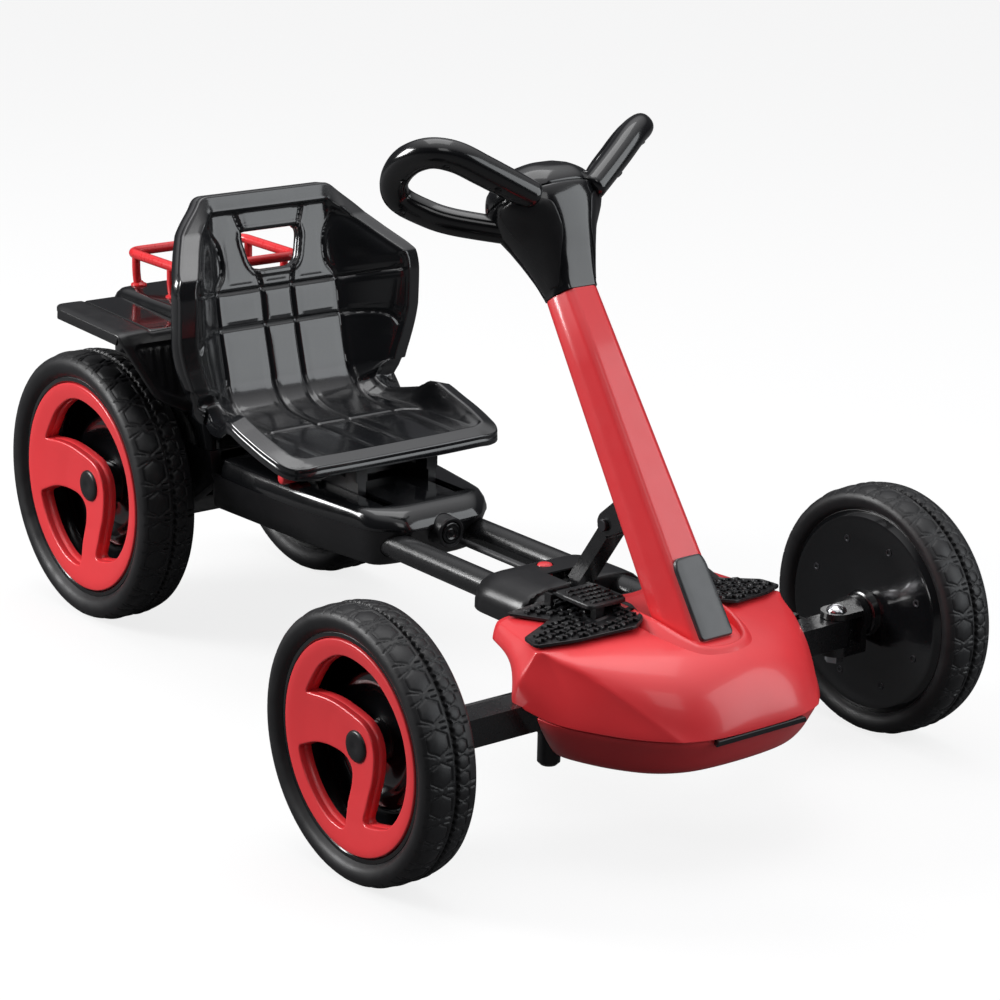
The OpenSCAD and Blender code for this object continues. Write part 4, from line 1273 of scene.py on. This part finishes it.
shapes = [plate([rounded(rect(40.5, -22, 86, 30), [6, 6, 4, 4])], 1.8,
                lambda p, inset: 4.2 + 0.5 * smooth(p[:, 1], 16, 29),
                edge=1.4, wall=4.0, place=pedal_place, arc=3)]
for row, y in enumerate(np.arange(-15, 26, 9.0)):
    for x in np.arange(46.5 + (row % 2) * 4, 84, 9.5):
        outline = PEDAL_CLEAT + [x, y]
        if outline[:, 0].max() <= 84 and outline[:, 1].max() <= 27.5:
            shapes.append(raised(outline, ((1, 4.0), (1, 5.4), (0.88, 5.9)), pedal_place))
shapes += [
    # hinge barrel, hinge pin, web and post
    tube([(-41.8, HINGE_Y, HINGE_Z), (-84.7, HINGE_Y, HINGE_Z)], 3.2, 20),
    tube([(-37, HINGE_Y, HINGE_Z), (-89.5, HINGE_Y, HINGE_Z)], 2.45, 18),
    box((-84.6, 28.6, 207.3), (-41.9, HINGE_Y, 211.8)),
    box((-76, -18.6, 184.4), (-66, -11.4, 211)),
]
part("accelerator_plate", merge(*shapes), "pad", "accelerator_pedal",
     ("accelerator_pedal",), sharp=30)
refine("pedal_switch", "case", 0.6)

# ------------------------------------------------------------------ frame clamp cover
SLIDE_X, SLIDE_Z = 49, 172          # the two frame tubes that run through front and rear
CLAMP_FRONT = 91
# z, half section (x, y)
CLAMP = [
    (156.6, [(75.5, 91), (76.2, 110), (76.2, 160), (67, 177)]),
    (164, [(75.8, 91), (76.2, 110), (76.2, 160), (66.5, 177.4)]),
    (174, [(74.8, 91), (75.6, 110), (75.4, 158), (65, 176.5)]),
    (181, [(71, 91), (72, 110), (71.5, 156), (61, 175)]),
    (186, [(65, 91), (66, 110), (65, 153), (56, 171.5)]),
    (189.2, [(57.5, 91), (59, 110), (58, 148), (50, 166)]),
    (191.2, [(47, 91.5), (49, 108), (48, 143), (42, 159)]),
    (192.0, [(32, 95), (34, 108), (33, 138), (29, 150)]),
    (192.2, [(6, 110), (8, 116), (8, 126), (5, 132)]),
]
rings = [level(resample(mirrored(half, [2.5, 6, 14, 14] if z < 191.5 else 2, 6), count=120), z)
         for z, half in CLAMP]
inner = [shrunk(ring, 0.965, 0.965, CLAMP_FRONT, -1.6) + [0, 0.2, 0] for ring in rings[:-1]]
inner[0][:, 2] = CLAMP[0][0]
clamp = part("frame_clamp_cover", shell(halved(rings), inner), "satin", "front_chassis",
             ("clamp_cover",), sharp=50)
cut(clamp, rod(8.5, (0, 150, 176), (0, 150, 200)),
    *[rod(14.5, (side * SLIDE_X, 150, SLIDE_Z), (side * SLIDE_X, 190, SLIDE_Z))
      for side, _ in SIDES],
    rod(4.6, (22, 150, 168), (22, 190, 168)), box((-16.2, 80, 150), (16.2, 127, 200)))
# (radius, z)
LOCK_CAP = [(0.01, 193.6), (4.5, 193.4), (6.8, 192.6), (7.9, 190.8), (8.0, 189),
            (8.0, 180.2), (0.01, 180.2)]
part("frame_lock_cap", revolve(LOCK_CAP, 40, (0, 150, 0), "z"), "red", "frame_lock_button",
     ("frame_lock_button",), sharp=40)

# ------------------------------------------------------------------ rear body
BUTTON_Z = 184
# z, half section (x, y), radius of the front corner
TRAY = [
    (148.5, [(38, 340), (64, 346), (78, 440), (84, 540), (88, 609)], 8),
    (151, [(41, 337), (67, 343), (81, 440), (87, 540), (91, 610)], 8),
    (170, [(44, 327), (71, 341), (86.5, 440), (92, 540), (94, 610)], 9),
    (186, [(46, 315), (75, 339), (91, 440), (96, 540), (96.4, 610)], 10),
    (189.3, [(46, 313), (75.4, 338.6), (91.4, 440), (96.4, 540), (96.6, 610)], 10),
]
# glossy cover over the tray, in the same columns
TOP_COVER = [
    (189.7, [(46.5, 312.5), (76, 338), (92, 440), (97, 540), (97, 585)], 10),
    (193, [(47, 313), (76, 338.5), (92, 440), (97, 540), (97, 585)], 10),
    (200, [(47, 317.5), (75.5, 341), (90.5, 440), (95, 540), (95, 585)], 12),
    (206, [(46, 324), (73.5, 345.5), (88.5, 440), (92.5, 540), (92.5, 585)], 13),
    (208.8, [(44, 330), (70, 350), (85, 441), (89, 540), (89, 584)], 13),
    (209.8, [(38, 338), (64, 356), (79, 442), (83, 540), (83, 582)], 12),
    (210.0, [(12, 380), (20, 392), (26, 450), (30, 520), (30, 560)], 8),
]
# open box behind the tray: z, half width, front y, rear y
BOX = [(213.5, 98, 604, 806), (200, 98, 602, 806), (180, 98, 598.5, 806), (176, 98, 604, 805),
       (150, 98, 640, 800), (146, 97, 645, 799), (118, 96, 694, 788), (112.4, 92, 700, 782)]


def body_rings(table):
    return [level(resample(mirrored(half, [r, r + 4, 20, 20, 2], 6), count=140), z)
            for z, half, r in table]


def box_ring(z, half_width, front, rear, front_radius, rear_radius, count):
    outline = rounded(rect(-half_width, front, half_width, rear),
                      [front_radius, front_radius, rear_radius, rear_radius], 6)
    return level(resample(outline, count=count), z)


rings = body_rings(TRAY)
inner = [shrunk(ring, 0.955, 0.972, 460, 2.8 if i < 2 else 0) for i, ring in enumerate(rings)]
tray = part("lower_body_tray", shell(rings, inner, open_last=True), "satin", "rear_chassis",
            ("lower_tray",))
cut(tray, rod(16.3, (0, 290, BUTTON_Z), (0, 345, BUTTON_Z)),
    *[rod(14.4, (side * SLIDE_X, 300, SLIDE_Z), (side * SLIDE_X, 365, SLIDE_Z))
      for side, _ in SIDES],
    rod(4.3, (22, 300, 168), (22, 365, 168)), box((-82, 560, 153), (82, 640, 195)))

outer = [box_ring(z, x, y0, y1, 8, 14, 120) for z, x, y0, y1 in BOX]
inner = [box_ring(z + (2.5 if z < 120 else 0), x - 2, y0 + 3, y1 - 3, 6, 11, 120)
         for z, x, y0, y1 in BOX]
rear_box = part("lower_body_box", shell(outer, inner), "satin", "rear_chassis")
cut(rear_box, *[rod(22, (side * 80, 750.4, 149.86), (side * 110, 750.4, 149.86))
                for side, _ in SIDES],
    box((-84, 560, 153), (84, 650, 212)))

rings = body_rings(TOP_COVER)
inner = [shrunk(ring, 0.965, 0.975, 450, -3 if i > 1 else 0) for i, ring in enumerate(rings)]
top_cover = part("body_top_cover", shell(halved(rings), inner), "gloss", "rear_chassis",
                 ("body_cover",), sharp=40)
cut(top_cover, rod(16.7, (0, 295, BUTTON_Z), (0, 345, BUTTON_Z)),
    box((-51.5, 347, 200), (-38.5, 497, 214)), box((38.5, 347, 200), (51.5, 497, 214)))

# (radius, y)
BUTTON_BEZEL = [(11.3, 303), (12.2, 301.6), (14.6, 301.2), (16.0, 302.4), (16.1, 306),
                (16.1, 329), (11.3, 329)]
BUTTON_CAP = [(0.01, 302.4), (3.6, 302.2), (4.2, 302.7), (5.0, 302.7), (5.6, 302.0),
              (9.0, 301.2), (10.6, 301.8), (11.0, 303.2), (11.0, 318), (0.01, 318)]
part("power_button_bezel", revolve(BUTTON_BEZEL, 64, (0, 0, BUTTON_Z), "y"), "satin",
     "rear_chassis", sharp=40)
part("power_button_cap", revolve(BUTTON_CAP, 56, (0, 0, BUTTON_Z), "y"), "gloss",
     "power_button", ("power_button",), sharp=40)

# ------------------------------------------------------------------ rear deck
# z, half width, front y, rear y
DECK = [(214.4, 100, 604, 806), (236, 100, 610.5, 806), (300, 100, 627.5, 806),
        (338, 100, 638, 806), (345.5, 99.6, 640.5, 805.6), (351, 97.6, 643, 803.6),
        (355.6, 94, 647, 800), (357.7, 88, 653, 794), (358.0, 60, 680, 770)]
outer, inner = [], []
for z, x, y0, y1 in DECK:
    radius = 12 if z < 350 else 10
    outer.append(box_ring(z, x, y0, y1, radius, 16, 160))
    if z < 356:
        inner.append(box_ring(min(z, 352.5), x - 3, y0 + 3.4, y1 - 3, radius - 3, 13, 160))
part("rear_deck_box", shell(outer, inner), "gloss", "rear_chassis",
     ("fender_deck",), sharp=40)

# ------------------------------------------------------------------ rear fenders
# Drawn flat like the seat: x, and the length up and back over the wheel from the front.
FENDER = Profile([(617, 258), (622, 276), (628, 300), (634, 324), (637.6, 336), (645, 344),
                  (664, 345.6), (720, 347.6), (789, 350)], 6)
rear = FENDER.end
bend = FENDER.at(640, 343)
fender_outline = rounded(
    [(100, 0), (118, 0), (151, 18), (183, bend - 6), (185, bend + 8), (185, rear - 16),
     (176, rear), (100, rear - 3)], [2, 6, 10, 10, 8, 10, 10, 3])
ribbed_field = rounded([(107, 14), (120, 13), (147, 26), (170, bend - 16), (166, bend - 9),
                        (107, bend - 9)], 6)
glossy_field = rounded([(101, bend + 6), (144, bend + 3), (144, rear - 5), (101, rear - 5)],
                       3, 4)
# section of the turned-down outer edge: (x, height)
FENDER_SKIRT = [(184.9, -3.2), (185.1, -10), (184.6, -11.6), (183.2, -11.6), (182.4, -10),
                (182.2, -3.2)]
SKIRT_STEPS = 50


def fender_top(points, inset):
    x, along = points.T
    field, _ = inset_of(points, [ribbed_field])
    height = -1.8 * (1 - np.clip(inset / 9, 0, 1)) ** 2 - 3.0 * smooth(field, 0, 3.0)
    ribs = bell((x - 122) % 11 - 5.5, 1.5)
    height = height + 1.8 * ribs * smooth(field, 5, 8)
    return height + 1.6 * smooth(x, 146, 149) * smooth(along, bend - 4, bend + 6)


def fender_skirt(place):
    along = np.linspace(bend + 4, rear - 17, SKIRT_STEPS)
    rows = [place(np.full(SKIRT_STEPS, x), along, np.full(SKIRT_STEPS, height))
            for x, height in FENDER_SKIRT]
    points, faces = loft(rows, False, False, closed=False)
    starts = [i * SKIRT_STEPS for i in range(len(rows))]
    last = starts[-1]
    faces += [(last + k, last + k + 1, k + 1, k) for k in range(SKIRT_STEPS - 1)]
    faces += [tuple(starts), tuple(i + SKIRT_STEPS - 1 for i in starts)[::-1]]
    return points, faces


for side, hand in SIDES:
    def fender_place(x, along, height, side=side):
        return FENDER.place(side * x, along, height)

    part("fender_field_" + hand,
         plate([glossy_field], 4.0, lambda p, inset: np.full(len(p), 0.5), edge=0.4, wall=0.9,
               place=fender_place, arc=2),
         "gloss", "rear_chassis", sharp=50)
    sheet = plate([fender_outline], 2.2, fender_top, edge=1.8, wall=4.6, place=fender_place,
                  arc=3)
    part("fender_" + hand, merge(sheet, fender_skirt(fender_place)), "satin", "rear_chassis",
         sharp=50)

# ------------------------------------------------------------------ luggage rack
RACK_X, RACK_Z = 74, 393
POST_X = RACK_X - 3                 # at the foot
# (radius, z)
POST_FLANGE = [(4.4, 358.0), (9.0, 358.0), (8.6, 359.6), (5.6, 361.0), (4.5, 362.5)]
rail = level(rounded(rect(-RACK_X, 690, RACK_X, 805), 16, 8), RACK_Z)
shapes = [tube(rail, 5.4, 18, closed=True)]
for side, _ in SIDES:
    for y in (717, 790):
        post = [(side * POST_X, y, 357.4), (side * (RACK_X - 1), y, 364),
                (side * RACK_X, y, 376), (side * RACK_X, y, RACK_Z - 2)]
        shapes.append(tube(curve(post, 5), 4.6, 16))
        shapes.append(revolve(POST_FLANGE, 24, (side * POST_X, y, 0), "z"))
part("rack_tube", merge(*shapes), "redp", "rear_chassis", ("luggage_rack",),
     sharp=50)

# ------------------------------------------------------------------ mechanical parts
# node, material, bevel, bevel segments where not 2
for row in (("main_tubes", "paint", 0.8), ("slide_sleeves", "paint", 0.8),
            ("rear_bracket", "paint", 0.8), ("front_bracket", "paint", 0.7),
            ("rear_axle", "steel", 1.0), ("rear_axle_nuts", "steel", 0.5),
            ("battery", "case", 2.0), ("control_module", "case", 1.2),
            ("gearboxes", "satin", 0.8), ("drive_motors", "steel", 0.8),
            ("wiring_harness", "wire", 0.4), ("axle_beam", "paint", 2.4),
            ("bump_feet", "satin", 1.2), ("tie_rod", "paint", 0.8),
            ("drive_gear_right", "satin", 0.0), ("drive_gear_left", "satin", 0.0),
            ("motor_pinion_right", "steel", 0.0), ("motor_pinion_left", "steel", 0.0),
            ("knuckle_right", "paint", 1.4, 3), ("knuckle_left", "paint", 1.4, 3),
            ("kingpin_bolts", "steel", 0.5)):
    refine(*row)

# domed head with a cross slot over each kingpin: (radius, z)
KINGPIN_X = 254
KINGPIN_DOME = [(0.01, 142.9), (3.5, 142.4), (6.8, 141.2), (9.2, 139.4), (10.3, 137.6),
                (10.3, 137.1), (0.01, 137.1)]
for side, hand in SIDES:
    x = side * KINGPIN_X
    dome = part("kingpin_dome_" + hand, revolve(KINGPIN_DOME, 48, (x, 0, 0), "z"), "steel",
                "front_chassis", sharp=40)
    cut(dome, box((x - 1, -8, 140.8), (x + 1, 8, 146)), box((x - 8, -1, 140.8), (x + 8, 1, 146)))


# ------------------------------------------------------------------ stage, in metres
def build_floor():
    """The floor looks pale to the camera but bounces little light up at the kart."""
    mesh = bpy.data.meshes.new("floor")
    mesh.from_pydata([(x, y, 0) for x, y in rect(-12, -12, 12, 12)], [], [(0, 1, 2, 3)])
    floor = add_object("floor", mesh)
    mat = bpy.data.materials.new("floor_mat")
    mat.use_nodes = True
    nodes, link = mat.node_tree.nodes, mat.node_tree.links.new
    surface = nodes["Principled BSDF"]
    set_inputs(surface, {"Base Color": (0.92, 0.92, 0.92, 1), "Roughness": 0.7,
                         "Specular IOR Level": 0.2})
    mesh.materials.append(mat)
    rays = nodes.new("ShaderNodeLightPath")
    glow = nodes.new("ShaderNodeEmission")
    set_inputs(glow, {"Color": (1, 1, 1, 1), "Strength": 1.0})
    bounce = nodes.new("ShaderNodeBsdfDiffuse")
    set_inputs(bounce, {"Color": (0.12, 0.12, 0.122, 1)})
    seen = nodes.new("ShaderNodeMixShader")
    set_inputs(seen, {"Fac": 0.82})
    link(surface.outputs[0], seen.inputs[1])
    link(glow.outputs[0], seen.inputs[2])
    by_ray = nodes.new("ShaderNodeMixShader")
    link(rays.outputs["Is Camera Ray"], by_ray.inputs["Fac"])
    link(bounce.outputs[0], by_ray.inputs[1])
    link(seen.outputs[0], by_ray.inputs[2])
    link(by_ray.outputs[0], nodes["Material Output"].inputs["Surface"])


def build_world():
    """White to the camera; as light, pale overhead and dark from the sides and below."""
    world = bpy.data.worlds.new("studio")
    scene.world = world
    world.use_nodes = True
    nodes, link = world.node_tree.nodes, world.node_tree.links.new
    sky = nodes["Background"]
    coords = nodes.new("ShaderNodeTexCoord")
    facing = nodes.new("ShaderNodeVectorMath")
    facing.operation = "DOT_PRODUCT"
    facing.inputs[1].default_value = Vector((0.10, 0.12, 1.0)).normalized()
    link(coords.outputs["Generated"], facing.inputs[0])
    share = nodes.new("ShaderNodeMapRange")
    set_inputs(share, {"From Min": -1, "From Max": 1})
    link(facing.outputs["Value"], share.inputs["Value"])
    ramp = nodes.new("ShaderNodeValToRGB")
    link(share.outputs["Result"], ramp.inputs["Fac"])
    link(ramp.outputs["Color"], sky.inputs["Color"])
    stops = ramp.color_ramp.elements
    stops[0].position, stops[0].color = 0.45, (0.02, 0.02, 0.022, 1)
    stops[1].position, stops[1].color = 0.95, (1.0, 1.0, 1.02, 1)
    stops.new(0.76).color = (0.07, 0.07, 0.075, 1)
    set_inputs(sky, {"Strength": 1.05})
    white = nodes.new("ShaderNodeBackground")
    set_inputs(white, {"Color": (1, 1, 1, 1), "Strength": 1.0})
    rays = nodes.new("ShaderNodeLightPath")
    by_ray = nodes.new("ShaderNodeMixShader")
    link(rays.outputs["Is Camera Ray"], by_ray.inputs["Fac"])
    link(sky.outputs[0], by_ray.inputs[1])
    link(white.outputs[0], by_ray.inputs[2])
    link(by_ray.outputs[0], nodes["World Output"].inputs["Surface"])


def area_light(name, at, target, size, power, size_y=None):
    light = bpy.data.lights.new(name, "AREA")
    light.energy = power
    light.size = size
    if size_y:
        light.shape = "RECTANGLE"
        light.size_y = size_y
    obj = add_object(name, light)
    obj.location = at
    obj.rotation_euler = (Vector(target) - Vector(at)).to_track_quat("-Z", "Y").to_euler()
    return light


def build_camera():
    """Looks at the kart from its front right, a little above."""
    azimuth, elevation, roll = (math.radians(a) for a in (-38.02, 17.08, 1.07))
    distance = 3.05517
    target = Vector((0.10568, (375.19 - ORIGIN_Y) / 1000, 0.18352))
    back = Vector((math.sin(azimuth) * math.cos(elevation),
                   -math.cos(azimuth) * math.cos(elevation), math.sin(elevation)))
    level_right = Vector((math.cos(azimuth), math.sin(azimuth), 0))
    level_up = back.cross(level_right)
    right = level_right * math.cos(roll) + level_up * math.sin(roll)
    up = -level_right * math.sin(roll) + level_up * math.cos(roll)
    camera = bpy.data.cameras.new("camera")
    obj = add_object("camera", camera)
    obj.matrix_world = Matrix((*[(right[i], up[i], back[i], 0) for i in range(3)],
                               (0, 0, 0, 1)))
    obj.location = target + back * distance
    camera.sensor_width = 36
    camera.lens = 103.8258
    camera.shift_x = 0.01063
    camera.shift_y = -0.00142
    camera.clip_end = 50
    scene.camera = obj


build_floor()
build_world()
key = area_light("key", at=(1.95, -2.5, 1.45), target=(0, 0.05, 0.3), size=2.6, power=50,
                 size_y=2.5)
key.color = (0.94, 0.975, 1.0)
area_light("side", at=(-2.6, 2.0, 1.7), target=(0, 0, 0.2), size=1.4, power=124, size_y=1.4)
area_light("front", at=(-1.2, -2.8, 2.6), target=(0, -0.2, 0.2), size=1.2, power=7)
area_light("top", at=(0.2, 0.3, 3.0), target=(0, 0, 0.2), size=2.0, power=24)
build_camera()
scene.view_settings.view_transform = "Standard"

bpy.context.view_layer.update()
